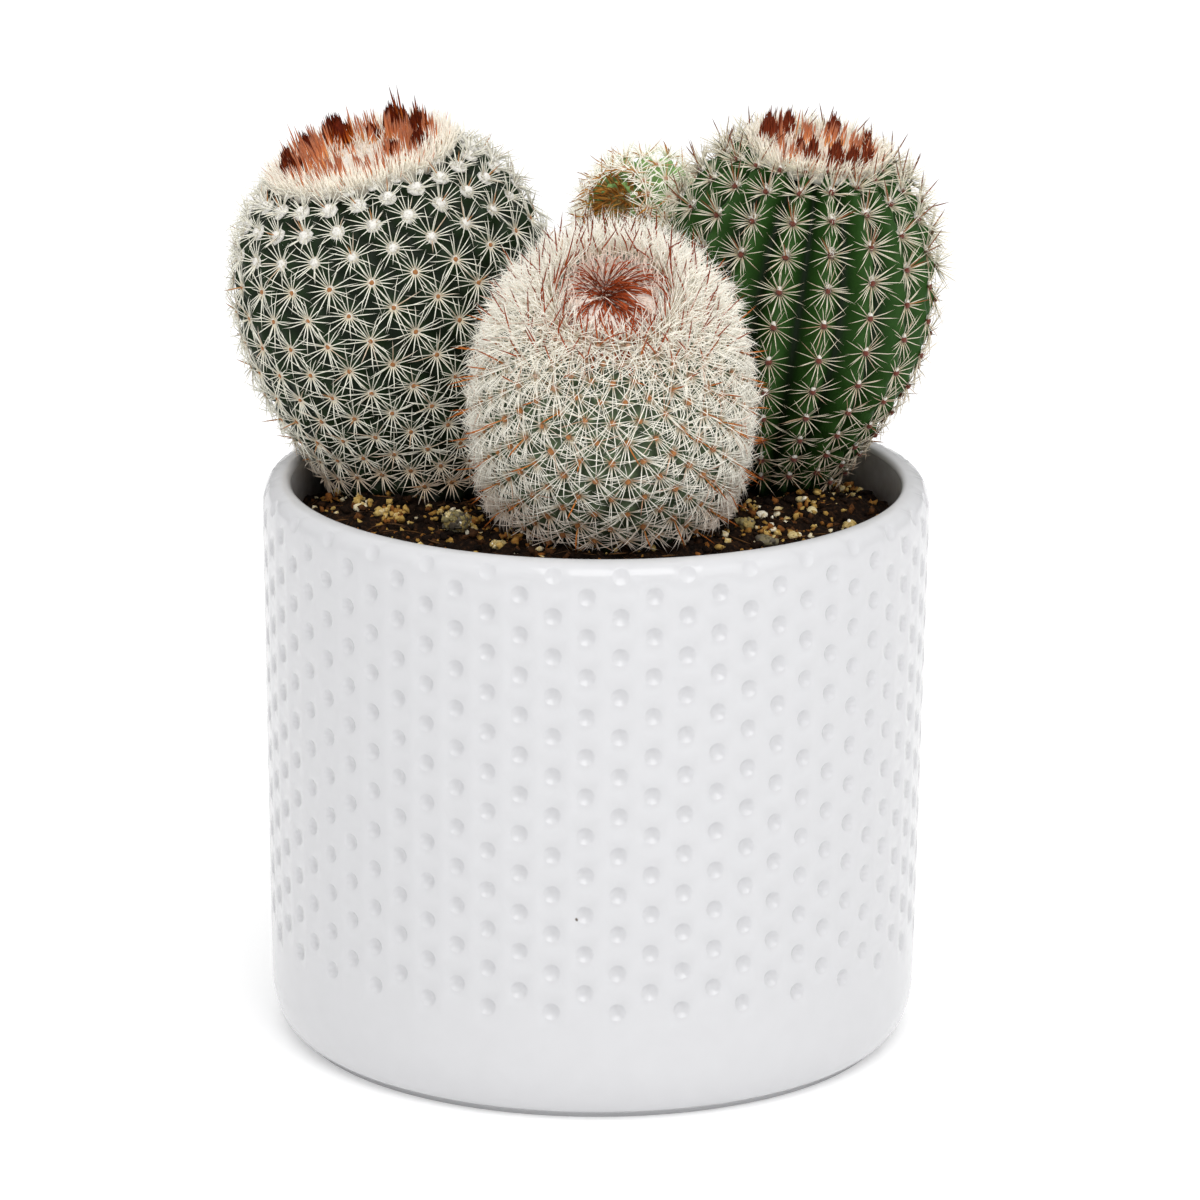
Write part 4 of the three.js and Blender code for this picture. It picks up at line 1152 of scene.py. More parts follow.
def build_front(settings):
    """The pale head: so many white spines that the flesh hardly shows, fluffy above and open below, with
    orange-brown hubs, one or two central spines pointing straight out, and long red-brown ones above."""
    head = PLANT["front"]
    random = np.random.default_rng(23)
    build_flesh(head, settings, rows=104, around=182, wool_from=head.edge - 0.1)
    share, angle, *directions = areole_places(head, inner=1.2)
    place, outward, around, up = directions
    # The side that leans over the pot's edge is bare, the flanks are thickly covered.
    bare = np.exp(-(((angle % (2 * np.pi) - 1.5 * np.pi) / 0.8) ** 2))
    near_crown = smooth_step(-0.3 + 0.2 * bare, -0.1 + 0.09 * bare, share - head.edge)
    young = near_crown * (1 - 0.7 * bare)
    spines, fluff, central, hubs = Shape(), Shape(), Shape(), Shape()
    count = settings.radials
    star_of = (0.52 + 0.36 * young, 0.17 + 0.07 * young, 0.5)
    droop = 0.2 - 0.14 * young
    root, heading, length, sag = radial_spines(
        settings, directions, random, star_of, 1.0 + 0.3 * young, (0.7, 1.1), droop, wobble=0.07
    )
    shade = tinted_share(random, len(root), chance=0.06, least=0.2, most=0.8)
    shade = np.maximum(shade, 0.3 * spread_out(darker_near_soil(place), count))
    width = settings.thickness / MM * spread_out(1 - 0.1 * young, count)
    # Lower down some of the spines are missing, so that the grey-green flesh shows between the stars.
    kept = random.uniform(0, 1, len(root)) < spread_out(1 - 0.55 * bare * (1 - young), count)
    fluffy = spread_out(young, count) > 0.4
    white = [(0.0, "#DCC9A2"), (0.3, "#FFFCF0"), (1.0, "#FFFAEE")]
    rust = [(0.0, "#DDA06A"), (0.45, "#BE7848"), (1.0, "#8A4A2C")]
    # The fluff gets more painted light from glow than the spines below it.
    for shape, part, name, look, glow in (
        (spines, kept & ~fluffy, "front_spines", "White spines front", 0.09),
        (fluff, kept & fluffy, "front_fluff", "Fluffy young spines front", 0.14),
    ):
        parts = (v[part] for v in (root, heading, length, width, sag))
        add_clear_strands(shape, head, *parts, shade=shade[part])
        shape.piece(name, [spine_material(look, white, rust, glow=glow)], "flesh_front")
    # Central spines: V-shaped pairs of long red-brown ones round the crown, and single tan ones lower down,
    # which point out and a little downward.
    few = random.uniform(0, 1, len(share))
    number = np.where(near_crown > 0.6, 1 + (few < 0.75), few < 0.7 - 0.55 * bare)
    for extra in range(2):
        picked = number > extra
        many = int(picked.sum())
        top = near_crown[picked][:, None]
        fork = (0.3 if extra else -0.3) * top
        tilt = fork + random.normal(0.0, 0.2, (many, 1))
        lean = random.uniform(-0.4, 0.15, (many, 1)) * (1 - top) + random.uniform(0.5, 1.4, (many, 1)) * top
        aim = unit(outward[picked] + up[picked] * lean + around[picked] * tilt)
        reach = random.uniform(4.4, 6.6, many) + 4.0 * near_crown[picked]
        shade = np.clip(1.1 * near_crown[picked] + random.normal(0, 0.15, many), 0, 1)
        root = place[picked] + outward[picked] * 0.2
        sag = random.normal(0, 0.09, (many, 3)) * reach[:, None]
        add_clear_strands(central, head, root, aim, reach, 0.4, sag, BENT, shade)
    look = spine_material(
        "Red-brown central spines",
        [(0.0, "#DDA060"), (0.5, "#C87634"), (1.0, "#94481C")],
        [(0.0, "#D88A54"), (0.4, "#AE4A20"), (1.0, "#5A1C0C")],
        gloss=0.08,
    )
    central.piece("front_centrals", [look], "flesh_front")
    size = (0.7 - 0.15 * young) * random.uniform(0.8, 1.1, len(share))
    lumps = size[:, None] * [1, 1, 0.85]
    tone = 1 - 0.8 * young
    add_lumps(hubs, place + outward * 0.45, lumps, outward, random, segments=7, rows=3, rough=0.12, tone=tone)
    hubs.piece("front_areoles", [wool_material("Areole wool front", "#F2EADD", "#AE733E")], "crown_wool")


def build_right(settings):
    """Straight ribs of deep green, with painted shade down the furrows between them; cream stars on
    maroon-brown hubs under a tuft of wool, and dark central spines towards the top."""
    head = PLANT["right"]
    random = np.random.default_rng(37)
    build_flesh(head, settings, rows=144, around=198)
    share, _, *directions = areole_places(head, above_soil=4.5)
    place, outward, around, up = directions
    young = smooth_step(head.edge - 0.36, head.edge - 0.06, share)
    spines, central, hubs = Shape(), Shape(), Shape()
    count, width = settings.radials, settings.thickness / MM
    small = np.clip(head.radius_at(share) / head.radius, 0.6, 1) ** 0.4
    star_of = (0.3 + 0.3 * young, 0.15, 0.45)
    root, heading, length, sag = radial_spines(
        settings, directions, random, star_of, small, (0.74, 1.08), droop=0.1, wobble=0.05
    )
    shade = tinted_share(random, len(root), chance=0.16, least=0.2, most=0.8)
    # Spines away from the crown, and more so near the soil, are tinted darker.
    dulled = 0.3 * spread_out(darker_near_soil(place), count)
    shade = np.maximum(shade, 0.2 * (1 - spread_out(young, count)) + dulled)
    add_clear_strands(spines, head, root, heading, length, width, sag, shade=shade)
    # A second, more upright star on the young areoles.
    crowded = (v[young > 0.25] for v in directions)
    root, heading = star(*crowded, 14, random, rise=0.8, rise_spread=0.25, root_radius=0.5)
    length = settings.radial_length / MM * random.uniform(0.7, 1.15, len(root))
    add_clear_strands(spines, head, root, heading, length, width)
    look = spine_material(
        "Cream spines right",
        [(0.0, "#EFE0BC"), (0.35, "#FBF6E2"), (1.0, "#F4E9CE")],
        [(0.0, "#C79A68"), (0.5, "#B27C54"), (1.0, "#7B4430")],
    )
    spines.piece("right_spines", [look], "flesh_right")
    few = random.uniform(0, 1, len(share)) < 0.12
    number = np.where(young > 0.45, random.integers(1, 3, len(share)), few)
    for extra in range(2):
        picked = number > extra
        many = int(picked.sum())
        lean = random.uniform(0.1, 1.0, (many, 1)) * (0.4 + 0.6 * young[picked][:, None])
        tilt = random.normal(0, 0.4, (many, 1))
        aim = unit(outward[picked] + up[picked] * lean * 1.6 + around[picked] * tilt)
        reach = random.uniform(3.4, 5.0, many) + 2.6 * young[picked]
        add_clear_strands(central, head, place[picked], aim, reach, 0.34, 0.0, BENT, young[picked])
    look = spine_material(
        "Dark central spines",
        [(0.0, "#D8B383"), (0.5, "#A97048"), (1.0, "#6A3A28")],
        [(0.0, "#D9B58C"), (0.45, "#9A5B3C"), (1.0, "#3E1A12")],
        gloss=0.1,
    )
    central.piece("right_centrals", [look], "flesh_right")
    size = np.full(len(share), 0.74)
    lumps = size[:, None] * [1, 0.85, 0.85]
    add_lumps(hubs, place + outward * 0.25, lumps, outward, random, segments=7, rows=3, rough=0.14, tone=1.0)
    tuft = place + up * 0.75 + outward * 0.2
    size = size * (0.78 + 0.6 * young)
    add_lumps(
        hubs, tuft, size[:, None] * [1, 0.8, 0.6], outward, random, segments=7, rows=3, rough=0.2, tone=0.0
    )
    woolly = young > 0.3
    add_fuzz(hubs, tuft[woolly], outward[woolly], size[woolly], random)
    hubs.piece("right_areoles", [wool_material("Areole wool right", "#F8F4EA", "#6A3120")], "crown_wool")


def build_back(settings):
    """The small head behind: round bright tubercles with cream stars, and thick ochre spines near its
    crown."""
    head = PLANT["back"]
    random = np.random.default_rng(41)
    build_flesh(head, settings, rows=110, around=144)
    share, _, *directions = areole_places(head)
    place, outward, around, up = directions
    young = smooth_step(head.edge - 0.4, head.edge - 0.05, share)
    spines, hubs = Shape(), Shape()
    many = len(share)
    root, heading, length, sag = radial_spines(
        settings, directions, random, (0.5, 0.2, 0.3), np.ones(many), (0.75, 1.1), droop=0.0, wobble=0.08
    )
    chance = 0.04 + 0.08 * spread_out(young, settings.radials)
    shade = (random.uniform(0, 1, len(root)) < chance) * 0.8
    add_clear_strands(spines, head, root, heading, length, settings.thickness / MM, sag, shade=shade)
    for extra in range(2):
        picked = random.uniform(0, 1, many) < (0.1 + 0.3 * young if extra else 0.55 * young)
        some = int(picked.sum())
        rise = up[picked] * random.uniform(0.1, 0.9, (some, 1))
        rise = rise + around[picked] * random.normal(0, 0.4, (some, 1))
        aim = unit(outward[picked] + rise)
        reach = random.uniform(3.6, 5.6, some)
        bend = (up[picked] * 0.2 - UP * 0.25) * reach[:, None]
        add_clear_strands(spines, head, place[picked], aim, reach, 0.46, bend, (0.0, 0.35, 0.7), 1.0)
    # A strong glow here: painted light against the shadow that the right head casts on this head.
    look = spine_material(
        "Ochre and cream spines",
        [(0.0, "#E6DCC0"), (0.3, "#FFFDF2"), (1.0, "#FBF5E6")],
        [(0.0, "#D2A45A"), (0.5, "#B0742C"), (1.0, "#6E3F1C")],
        gloss=0.1,
        glow=0.26,
    )
    spines.piece("back_spines", [look], "flesh_back")
    lumps = np.full((many, 1), 0.55) * [1, 1, 0.7]
    add_lumps(hubs, place + outward * 0.2, lumps, outward, random, segments=7, rows=3, rough=0.12, tone=0.8)
    hubs.piece("back_areoles", [wool_material("Areole wool back", "#F4F0E2", "#A8642F")], "crown_wool")


# The crowns


def crown_directions(head, angle, radius):
    """Places on the bare crown at the distance radius from the axis, and the crown's up and outward."""
    share = head.share_of_radius(radius)
    place, _, out = head.skin(share, angle)
    forward = np.broadcast_to(head.tangent(np.array(1.0)), place.shape)
    out = unit(out - (out * forward).sum(-1, keepdims=True) * forward)
    return place, forward, out


def add_crown_pad(shape, head, reach, thick, random, dark_within=0.0):
    """The felt under a crown's bristles: the bare crown lifted by thick, with soft lumps, closed at its edge.
    Nearer to the middle than dark_within it is dark."""
    around, rows = 96, 16
    angle = np.arange(around) * 2 * np.pi / around
    radii = np.concatenate([[reach * 1.02, reach * 1.03], np.linspace(reach, 0.15, rows)])
    share = head.share_of_radius(radii)
    s, a = np.meshgrid(share, angle, indexing="ij")
    place, outward, _, _ = head.frame_at(s, a)
    phase = random.uniform(0, 6, 2)
    out = radii[:, None]
    lumps = 0.3 * np.sin(9 * a + phase[0] + 3 * np.sin(out)) * np.sin(1.7 * out + phase[1])
    lift = thick * np.concatenate([[-0.4, 0.1], np.linspace(0.6, 1.0, rows)])[:, None] + lumps
    tone = 1 - smooth_step(dark_within * 0.5, dark_within + 1e-6, radii)[:, None] if dark_within else 0.0
    add_tube(shape, place + outward * lift[..., None], tone=tone)


def ring_of(many, random, inner, outer):
    """Angles and distances of places spread evenly over a ring."""
    return random.uniform(0, 2 * np.pi, many), np.sqrt(random.uniform(inner**2, outer**2, many))


def add_bunches(shape, head, bunches, random, width, thick, shade=1.0, lean=0.08):
    """Bunches of strands that lean together at their tips. A bunch is its angle in degrees, distance from the
    axis, height, spread and number of strands."""
    turn, out_at, high, spread, counts = np.array(bunches, float).T
    each = np.repeat(np.arange(len(turn)), counts.astype(int))
    many = len(each)
    middle, forward, out = (v[each] for v in crown_directions(head, np.radians(turn), out_at))
    sideways = np.cross(forward, out)
    disc_r = np.sqrt(random.uniform(0, 1, (many, 1)))
    disc_a = random.uniform(0, 2 * np.pi, (many, 1))
    away = sideways * disc_r * np.cos(disc_a) + out * disc_r * np.sin(disc_a) * 0.8
    spread, high = spread[each], high[each]
    root = middle + away * spread[:, None] + forward * thick * 0.4
    reach = high * (1 - 0.35 * disc_r[:, 0] ** 2) * random.uniform(0.78, 1.08, many)
    together = away * (spread / high)[:, None] * 0.38
    aim = unit(forward + out * lean - together + random.normal(0, 0.05, (many, 3)))
    wide = width * random.uniform(0.8, 1.25, many)
    add_clear_strands(shape, head, root, aim, reach, wide, stops=BENT, shade=shade)


def add_cores(shape, head, bunches, random, thick):
    """The fused dry middle of each dark bunch: an uneven pointed lump."""
    turn, out_at, high, spread, _ = np.array(bunches, float).T
    middle, forward, out = crown_directions(head, np.radians(turn), out_at)
    centre = middle + forward * (thick * 0.4 + high[:, None] * 0.3)
    size = np.stack([spread * 0.62, spread * 0.62, high * 0.42], -1)
    up = unit(forward + out * 0.08)
    add_lumps(shape, centre, size, up, random, segments=9, rows=6, rough=0.22, along=0.85, shade=1.0)


CROWN_CREAM = [(0.0, "#FAF2E2"), (0.5, "#FFF9EC"), (1.0, "#FFF4E2")]
CROWN_RUST = [
    (0.0, "#F8D4A0"),
    (0.25, "#F0A050"),
    (0.6, "#D06A1C"),
    (1.0, "#7A2E08"),
]
CROWN_MAROON = [
    (0.0, "#ECB070"),
    (0.35, "#D67C38"),
    (0.6, "#A44816"),
    (0.85, "#5C1C0A"),
    (1.0, "#3A1008"),
]
CROWN_WOOD = [
    (0.0, "#D8A07A"),
    (0.3, "#B0603C"),
    (0.6, "#8E3E24"),
    (1.0, "#5A2212"),
]


# Crowns with a sunken middle: seed, reach, thickness of the felt, heights of the cream and the rust
# bristles; how many cream bristles, rust bunches and loose hairs; single tall bunches, as in TUFTS; colours
# of the tufts
RING_CROWNS = {
    "left": (
        *(18, 16.5, 2.0, 6.2, 8.5),
        (1500, 95, 650),
        [(50, 12.5, 15.5, 0.5, 4), (30, 13.0, 11.0, 0.8, 5), (12, 13.2, 10.0, 0.8, 5)],
        CROWN_MAROON,
    ),
    "right": (
        *(44, 11.8, 1.6, 5.2, 7.0),
        (760, 42, 420),
        [(318, 11.6, 11.5, 0.5, 4), (190, 9.0, 10.0, 0.6, 4), (170, 7.5, 10.5, 0.5, 4)],
        CROWN_WOOD,
    ),
}


def build_ring_crown(name):
    """A crown with a sunken middle: an edge of cream bristles, small bunches of rust ones inside it, loose
    cream hairs, and the dark bunches of TUFTS."""
    head = PLANT[name]
    seed, reach, thick, edge_high, rust_high, counts, single, darkest = RING_CROWNS[name]
    random = np.random.default_rng(seed)
    wool, cream, rust, dark = Shape(), Shape(), Shape(), Shape()
    add_crown_pad(wool, head, reach, thick, random)
    edge_count, rust_count, hair_count = counts

    angle, radius = ring_of(edge_count, random, reach * 0.8, reach * 1.07)
    place, forward, out = crown_directions(head, angle, radius)
    lean = random.uniform(0.0, 0.7, (edge_count, 1))
    aim = unit(forward + out * lean + random.normal(0, 0.12, place.shape))
    length = edge_high * random.uniform(0.6, 1.15, edge_count)
    tinted = tinted_share(random, edge_count, chance=0.07, least=0.4, most=0.9)
    add_clear_strands(cream, head, place + forward * thick * 0.2, aim, length, 0.34, shade=tinted)

    angle, radius = ring_of(rust_count, random, reach * 0.45, reach * 0.93)
    high = rust_high * random.uniform(0.6, 1.1, rust_count)
    spread = random.uniform(0.7, 1.4, rust_count)
    strands = random.integers(4, 10, rust_count)
    small = np.stack([np.degrees(angle), radius, high, spread, strands], -1)
    add_bunches(rust, head, small, random, width=0.42, thick=thick, shade=0.9, lean=0.15)

    angle, radius = ring_of(hair_count, random, 0.3, reach * 0.8)
    place, forward, out = crown_directions(head, angle, radius)
    aim = unit(forward + random.normal(0, 0.3, place.shape))
    length = random.uniform(2.5, 5.0, hair_count)
    add_clear_strands(cream, head, place + forward * thick * 0.3, aim, length, 0.32, shade=0.1)

    add_bunches(dark, head, TUFTS[name], random, width=0.56, thick=thick)
    add_cores(dark, head, TUFTS[name], random, thick)
    add_bunches(dark, head, single, random, width=0.5, thick=thick)
    bristle = spine_material(f"Cream bristles {name}", CROWN_CREAM, CROWN_RUST, 0.6, glow=0.12)
    felt = wool_material(f"Felted wool {name}", "#FBF6EC", "#E2BC98")
    young = spine_material(f"Rust spines {name}", CROWN_CREAM, CROWN_RUST, 0.6, gloss=0.05, glow=0.14)
    tuft = spine_material(f"Dark tufts {name}", CROWN_RUST, darkest, 0.6, gloss=0.05)
    wool.piece(f"{name}_crown_felt", [felt], "crown_wool", [f"{name}_crown"])
    cream.piece(f"{name}_crown_bristles", [bristle], "crown_wool")
    rust.piece(f"{name}_crown_spines", [young], "crown_wool")
    dark.piece(f"{name}_crown_tufts", [tuft], "crown_wool")


def comb(shape, head, angle, radius, way_share, width, random, shade, arch, loose, stops):
    """Hairs combed over the crown. Each starts square to the skin, the more so the larger arch is, and bends
    towards a point 2 mm left of the crown's middle and above it by 2 + 1.7 sin(angle) mm, which is 0.3 mm
    for the near side and 3.7 mm for the far side. It goes a share of the way: root + heading * length * t +
    bend * t * t, with bend = -outward * arch * length; loose scatters the points aimed at."""
    place, outward, _, _ = head.frame_at(head.share_of_radius(radius), angle)
    forward = head.tangent(np.array(1.0))
    peak = head.skin(np.array(1.0), np.array(0.0))[0] + forward * (2.0 + 1.7 * np.sin(angle))[:, None]
    peak = peak - np.array([2.0, 0.0, 0.0])
    way = peak - place + random.normal(0, loose, place.shape)
    length = np.linalg.norm(way, axis=1) * way_share
    heading = unit(way) + outward * arch
    size = np.linalg.norm(heading, axis=1)
    bend = -outward * arch * length[:, None]
    heading = heading / size[:, None]
    add_clear_strands(shape, head, place + outward * 0.2, heading, length * size, width, bend, stops, shade)


def build_front_crown():
    """Pink-cream hairs and rust-red spines, combed from all round the crown up over its middle."""
    head = PLANT["front"]
    random = np.random.default_rng(30)
    wool, hair = Shape(), Shape()
    add_crown_pad(wool, head, reach=8.5, thick=1.0, random=random, dark_within=5.0)
    rings = [ring_of(800, random, 1.0, 8.8), ring_of(1500, random, 8.0, 14.0)]
    angle, radius = np.concatenate(rings, axis=1)
    way = random.uniform(0.25, 0.6, len(angle))
    comb(
        hair, head, angle, radius, way, 0.29, random, shade=0.0, arch=0.3, loose=1.4, stops=(0.0, 0.33, 0.67)
    )
    # Loose upright hairs hide the felt's edge.
    angle, radius = ring_of(450, random, 7.2, 10.5)
    place, forward, out = crown_directions(head, angle, radius)
    aim = unit(forward + out * 0.1 + random.normal(0, 0.35, place.shape))
    add_clear_strands(hair, head, place, aim, random.uniform(2.5, 5.5, len(angle)), 0.3, shade=0.0)
    # The near side's curtain, the bundles on the far side, and the short dark ones round the middle.
    for middle, half, many, inner, outer, least, most in (
        (-math.pi / 2, 1.1, 130, 7.0, 16.0, 0.7, 0.98),
        (math.pi / 2, 1.7, 70, 4.0, 12.0, 0.7, 0.95),
        (-math.pi / 2, 2.6, 130, 1.0, 6.0, 0.6, 0.95),
    ):
        _, radius = ring_of(many, random, inner, outer)
        angle = middle + half * random.uniform(-1, 1, many)
        way = random.uniform(least, most, many)
        comb(hair, head, angle, radius, way, 0.34, random, shade=1.0, arch=1.0, loose=0.5, stops=CURLED)
    pink = [(0.0, "#FFFAF4"), (0.6, "#FFF0E4"), (1.0, "#EECDB4")]
    rust = [(0.0, "#D8905C"), (0.2, "#C06036"), (0.6, "#8C3A1C"), (1.0, "#3E1408")]
    felt = wool_material("Felted wool front", "#F3E4D9", "#7A3414")
    spines = spine_material("Combed spines front", pink, rust, 0.6, gloss=0.06, glow=0.08)
    wool.piece("front_crown_felt", [felt], "crown_wool", ["front_crown"])
    hair.piece("front_crown_spines", [spines], "crown_wool")


def build_back_crown():
    """Thick ochre spines that start outward from the small crown and droop."""
    head = PLANT["back"]
    random = np.random.default_rng(48)
    wool, hair = Shape(), Shape()
    add_crown_pad(wool, head, head.crown, thick=0.7, random=random)
    angle, radius = ring_of(190, random, 0.4, 5.4)
    place, forward, out = crown_directions(head, angle, radius)
    share = radius[:, None] / head.crown
    aim = unit(forward * 0.7 + out * (0.15 + 0.7 * share) + random.normal(0, 0.28, place.shape))
    length = random.uniform(3.4, 6.2, len(angle))
    shade = random.uniform(0.1, 1.0, len(angle))
    droop = -UP * 0.38 * length[:, None]
    add_clear_strands(hair, head, place, aim, length, 0.52, droop, CURLED, shade)
    ochre = [(0.0, "#E8C88A"), (0.5, "#C8923E"), (1.0, "#96602A")]
    brown = [(0.0, "#CC954A"), (0.5, "#9A5E22"), (1.0, "#5E3314")]
    felt = wool_material("Felted wool back", "#A58C4C", "#7C6A34")
    spines = spine_material("Ochre fringe", ochre, brown, 0.6, gloss=0.08)
    wool.piece("back_crown_felt", [felt], "crown_wool", ["back_crown"])
    hair.piece("back_crown_spines", [spines], "crown_wool")


# The stage


def link(name, data):
    """A new object in the scene that shows this data."""
    made = bpy.data.objects.new(name, data)
    bpy.context.scene.collection.objects.link(made)
    return made


def build_stage(settings):
    """Camera, pale floor and soft light. The camera stands where the photograph was taken."""
    camera = bpy.data.cameras.new("camera")
    camera.lens = settings.lens
    camera.sensor_width = 36.0
    camera.clip_start, camera.clip_end = 0.05, 20.0
    view = link("camera", camera)
    tilt = Matrix.Rotation(math.pi / 2 - settings.camera_pitch, 4, "X")
    roll = Matrix.Rotation(settings.camera_roll, 4, "Z")
    view.matrix_world = Matrix.Translation(settings.camera_place) @ tilt @ roll
    bpy.context.scene.camera = view

    mesh = bpy.data.meshes.new("floor")
    side = 6.0
    corners = [(-side, -side, 0), (side, -side, 0), (side, side, 0), (-side, side, 0)]
    mesh.from_pydata(corners, [], [(0, 1, 2, 3)])
    floor = link("floor", mesh)
    sheet = bpy.data.materials.new("Lit white acrylic sheet")
    sheet.use_nodes = True
    sheet.node_tree.nodes.clear()
    glow = {"Emission Color": "#FFFFFF", "Emission Strength": settings.floor_glow}
    mesh.materials.append(close_material(sheet, settings.floor, 0.9, glow))

    for name, power, size, place in (
        ("key", settings.key_power, 1.2, (1.22, -1.03, 1.06)),
        ("fill", settings.fill_power, 1.2, (-1.22, -1.03, 1.06)),
        ("front", settings.front_power, 1.3, (0.25, -1.25, 1.5)),
    ):
        lamp = bpy.data.lights.new(name, "AREA")
        lamp.energy, lamp.size = power, size
        aim = Vector((-place[0], -place[1], 0.1 - place[2]))  # towards the pot's axis, 0.1 m up
        turn = aim.to_track_quat("-Z", "Y").to_matrix().to_4x4()
        link(name, lamp).matrix_world = Matrix.Translation(place) @ turn

    world = bpy.data.worlds.new("studio")
    world.use_nodes = True
    tree = world.node_tree
    direction = add_node(tree, "TexCoord", "Generated")
    height = add_node(tree, "SeparateXYZ", "Z", {"Vector": direction})
    band = {"Value": height, "To Min": settings.horizon, "To Max": settings.zenith}
    sky = tree.nodes["Background"].inputs
    tree.links.new(add_node(tree, "MapRange", "Result", band), sky["Strength"])
    sky["Color"].default_value = rgba("#FFFFFF")
    bpy.context.scene.world = world
    bpy.context.scene.view_settings.view_transform = "Standard"


# Settings


def setting(name, description, default, kind=bpy.props.FloatProperty, **more):
    """A property with a plain number, unless kind says otherwise."""
    return kind(name=name, description=description, default=default, **more)


def length(name, description, default_mm):
    """A length property, kept in metres."""
    return setting(name, description, default_mm * MM, min=0.0, max=50.0 * MM, unit="LENGTH", precision=5)


def colour(name, description, code):
    """A colour property, whose default is an sRGB hex code."""
    limits = {"subtype": "COLOR", "size": 3, "min": 0.0, "max": 1.0}
    return setting(name, description, linear(code), bpy.props.FloatVectorProperty, **limits)


def group(kind, name, description):
    """A property that holds another group of settings."""
    return bpy.props.PointerProperty(type=kind, name=name, description=description)


def head_settings(name, radials, radial_mm, thick_mm, skin, furrow):
    """A group of settings for one head, with its own defaults."""
    each, whole = "White spines on each areole", bpy.props.IntProperty
    fields = {
        "radials": setting("Radial spines", each, radials, whole, min=4, max=60),
        "radial_length": length("Radial length", "Length of the white spines", radial_mm),
        "thickness": length("Thickness", "Width of a white spine at its root", thick_mm),
        "skin": colour("Skin", "Colour of the flesh on the tubercles", skin),
        # furrow is the dark colour of the flesh's painted shade.
        "furrow": colour("Furrows", "Colour of the flesh in the furrows", furrow),
    }
    return type(f"{name}HeadSettings", (bpy.types.PropertyGroup,), {"__annotations__": fields})


LeftHeadSettings = head_settings("Left", 19, 6.5, 0.27, "#1C2E16", "#050A03")
FrontHeadSettings = head_settings("Front", 36, 6.6, 0.25, "#66775A", "#1C2617")
RightHeadSettings = head_settings("Right", 16, 5.8, 0.22, "#2A4C1B", "#0B1A07")
# The back head's skin is painted lighter, to make up for the shadow that the right head casts on it.
BackHeadSettings = head_settings("Back", 20, 4.8, 0.3, "#8DB36C", "#4E6E38")


class PotSettings(bpy.types.PropertyGroup):
    columns: setting("Dimple columns", "Columns round the wall, even", 64, bpy.props.IntProperty, min=8)
    pitch: length("Dimple pitch", "Distance from one dimple up to the next in its column", 7.824)
    dimple: length("Dimple radius", "Radius of a dimple", 1.75)
    depth: length("Dimple depth", "Depth of a dimple", 0.94)
    glaze: colour("Glaze", "Colour of the glaze", "#CBCBCD")


class SoilSettings(bpy.types.PropertyGroup):
    crumbs: setting("Crumbs", "Loose crumbs on the soil", 3400, bpy.props.IntProperty, min=0)
    peat: colour("Peat", "Main colour of the soil", "#1E130C")


class StageSettings(bpy.types.PropertyGroup):
    lens: setting("Lens", "Focal length on a 36 mm sensor", 218.1)
    camera_place: bpy.props.FloatVectorProperty(
        name="Camera", description="Where the camera stands", default=(0.0009, -1.3667, 0.4729),
        unit="LENGTH", precision=4,
    )
    camera_pitch: setting("Pitch", "How far the camera looks down", 0.2758, unit="ROTATION")
    camera_roll: setting("Roll", "How far the camera is turned", 0.0076, unit="ROTATION")
    key_power: setting("Key", "Power of the right light", 4.0, unit="POWER")
    fill_power: setting("Fill", "Power of the left light", 2.0, unit="POWER")
    front_power: setting("Front", "Power of the front light", 14.0, unit="POWER")
    zenith: setting("Zenith", "Brightness of the room's ceiling", 1.2)
    horizon: setting("Horizon", "Brightness of the room's walls", 0.42)
    floor: colour("Floor", "Colour of the floor sheet", "#F4F4F4")
    floor_glow: setting("Floor glow", "Light of the floor sheet", 0.15)


class CactusSettings(bpy.types.PropertyGroup):
    pot: group(PotSettings, "Pot", "The pot")
    soil: group(SoilSettings, "Soil", "The soil")
    left: group(LeftHeadSettings, "Left head", "The big left head")
    front: group(FrontHeadSettings, "Front head", "The pale front head")
    right: group(RightHeadSettings, "Right head", "The ribbed right head")
    back: group(BackHeadSettings, "Back head", "The small back head")
    stage: group(StageSettings, "Stage", "Camera, floor and light")


# Operators


class CACTUS_OT_stage(bpy.types.Operator):
    """Sets up the camera, the floor and the lights"""

    bl_idname = "cactus.stage"
    bl_label = "Build Stage"

    def execute(self, context):
        build_stage(context.scene.cactus.stage)
        return {"FINISHED"}


class CACTUS_OT_pot(bpy.types.Operator):
    """Builds the glazed pot with its dimpled wall"""

    bl_idname = "cactus.pot"
    bl_label = "Build Pot"

    def execute(self, context):
        build_pot(context.scene.cactus.pot)
        return {"FINISHED"}


class CACTUS_OT_soil(bpy.types.Operator):
    """Builds the soil with its crumbs, fibres and stones"""

    bl_idname = "cactus.soil"
    bl_label = "Build Soil"

    def execute(self, context):
        build_soil(context.scene.cactus.soil)
        return {"FINISHED"}


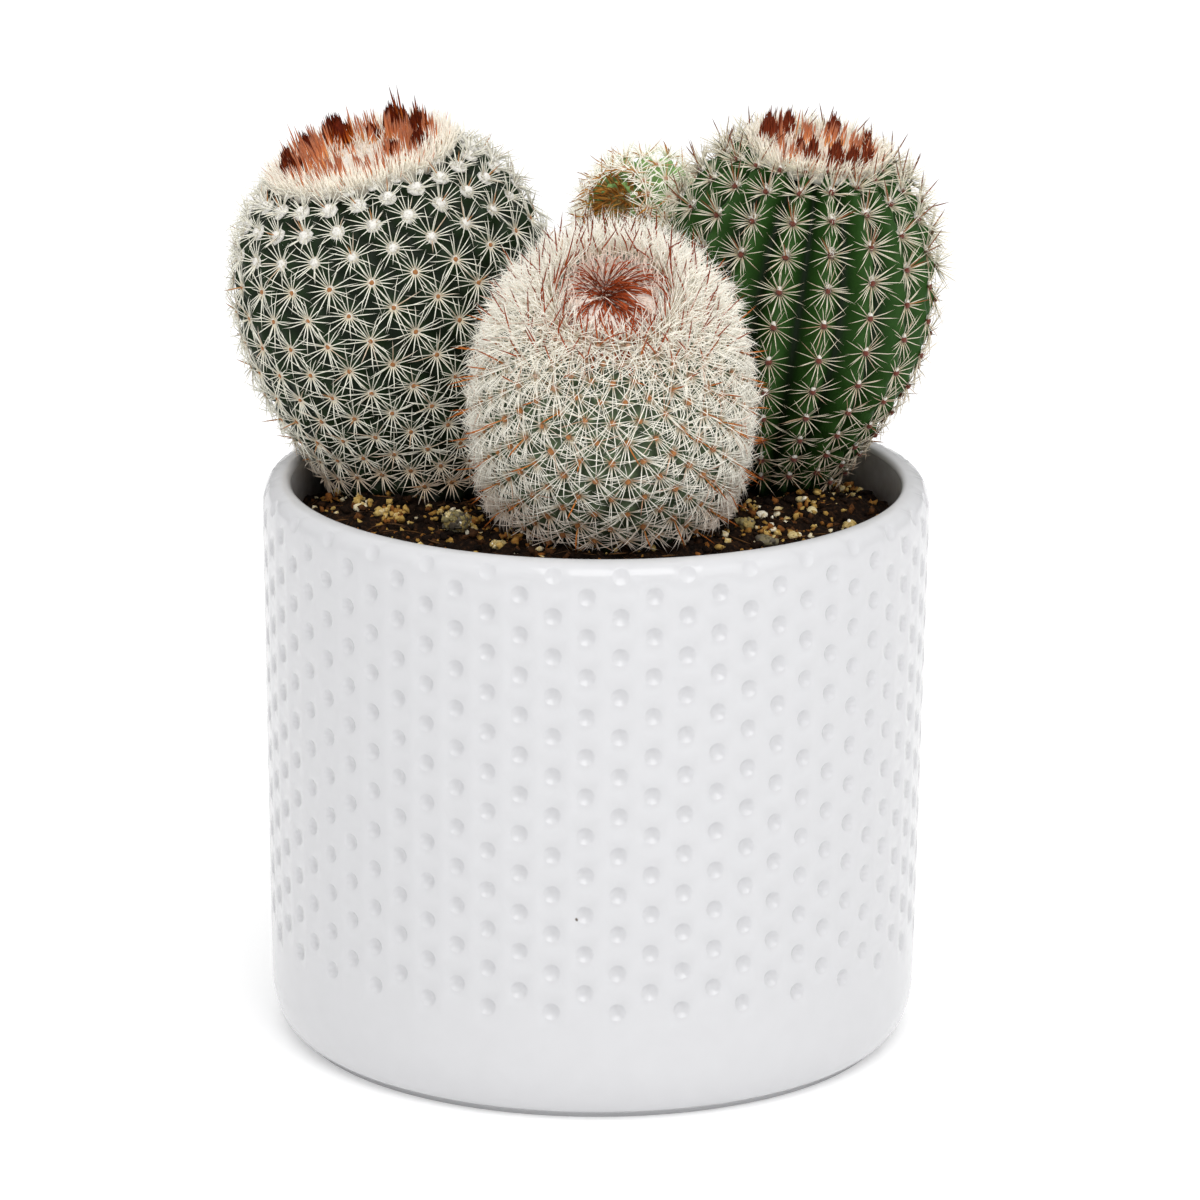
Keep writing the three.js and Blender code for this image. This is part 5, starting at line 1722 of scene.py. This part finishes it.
class CACTUS_OT_heads(bpy.types.Operator):
    """Builds the flesh, spines and areoles of the four heads"""

    bl_idname = "cactus.heads"
    bl_label = "Build Heads"

    def execute(self, context):
        settings = context.scene.cactus
        build_left(settings.left)
        build_front(settings.front)
        build_right(settings.right)
        build_back(settings.back)
        return {"FINISHED"}


class CACTUS_OT_crowns(bpy.types.Operator):
    """Builds the wool and the young spines on the crowns"""

    bl_idname = "cactus.crowns"
    bl_label = "Build Crowns"

    def execute(self, context):
        build_ring_crown("left")
        build_ring_crown("right")
        build_front_crown()
        build_back_crown()
        return {"FINISHED"}


class CACTUS_PT_panel(bpy.types.Panel):
    """Lists the pieces and their settings"""

    bl_idname = "CACTUS_PT_panel"
    bl_label = "Potted Ball Cactus"
    bl_space_type = "VIEW_3D"
    bl_region_type = "UI"
    bl_category = "Cactus"

    def draw(self, context):
        settings = context.scene.cactus
        for operator, groups in (
            ("cactus.stage", ["stage"]),
            ("cactus.pot", ["pot"]),
            ("cactus.soil", ["soil"]),
            ("cactus.heads", ["left", "front", "right", "back"]),
            ("cactus.crowns", []),
        ):
            box = self.layout.box()
            box.operator(operator)
            for name in groups:
                group = getattr(settings, name)
                for field in group.bl_rna.properties.keys():
                    if field not in ("rna_type", "name"):
                        box.prop(group, field)


CLASSES = (
    PotSettings,
    SoilSettings,
    LeftHeadSettings,
    FrontHeadSettings,
    RightHeadSettings,
    BackHeadSettings,
    StageSettings,
    CactusSettings,
    CACTUS_OT_stage,
    CACTUS_OT_pot,
    CACTUS_OT_soil,
    CACTUS_OT_heads,
    CACTUS_OT_crowns,
    CACTUS_PT_panel,
)


def register():
    for made in CLASSES:
        bpy.utils.register_class(made)
    bpy.types.Scene.cactus = bpy.props.PointerProperty(type=CactusSettings)


def unregister():
    del bpy.types.Scene.cactus
    for made in reversed(CLASSES):
        bpy.utils.unregister_class(made)


def main():
    register()
    bpy.ops.cactus.stage()
    bpy.ops.cactus.pot()
    bpy.ops.cactus.soil()
    bpy.ops.cactus.heads()
    bpy.ops.cactus.crowns()


if __name__ == "__main__":
    main()
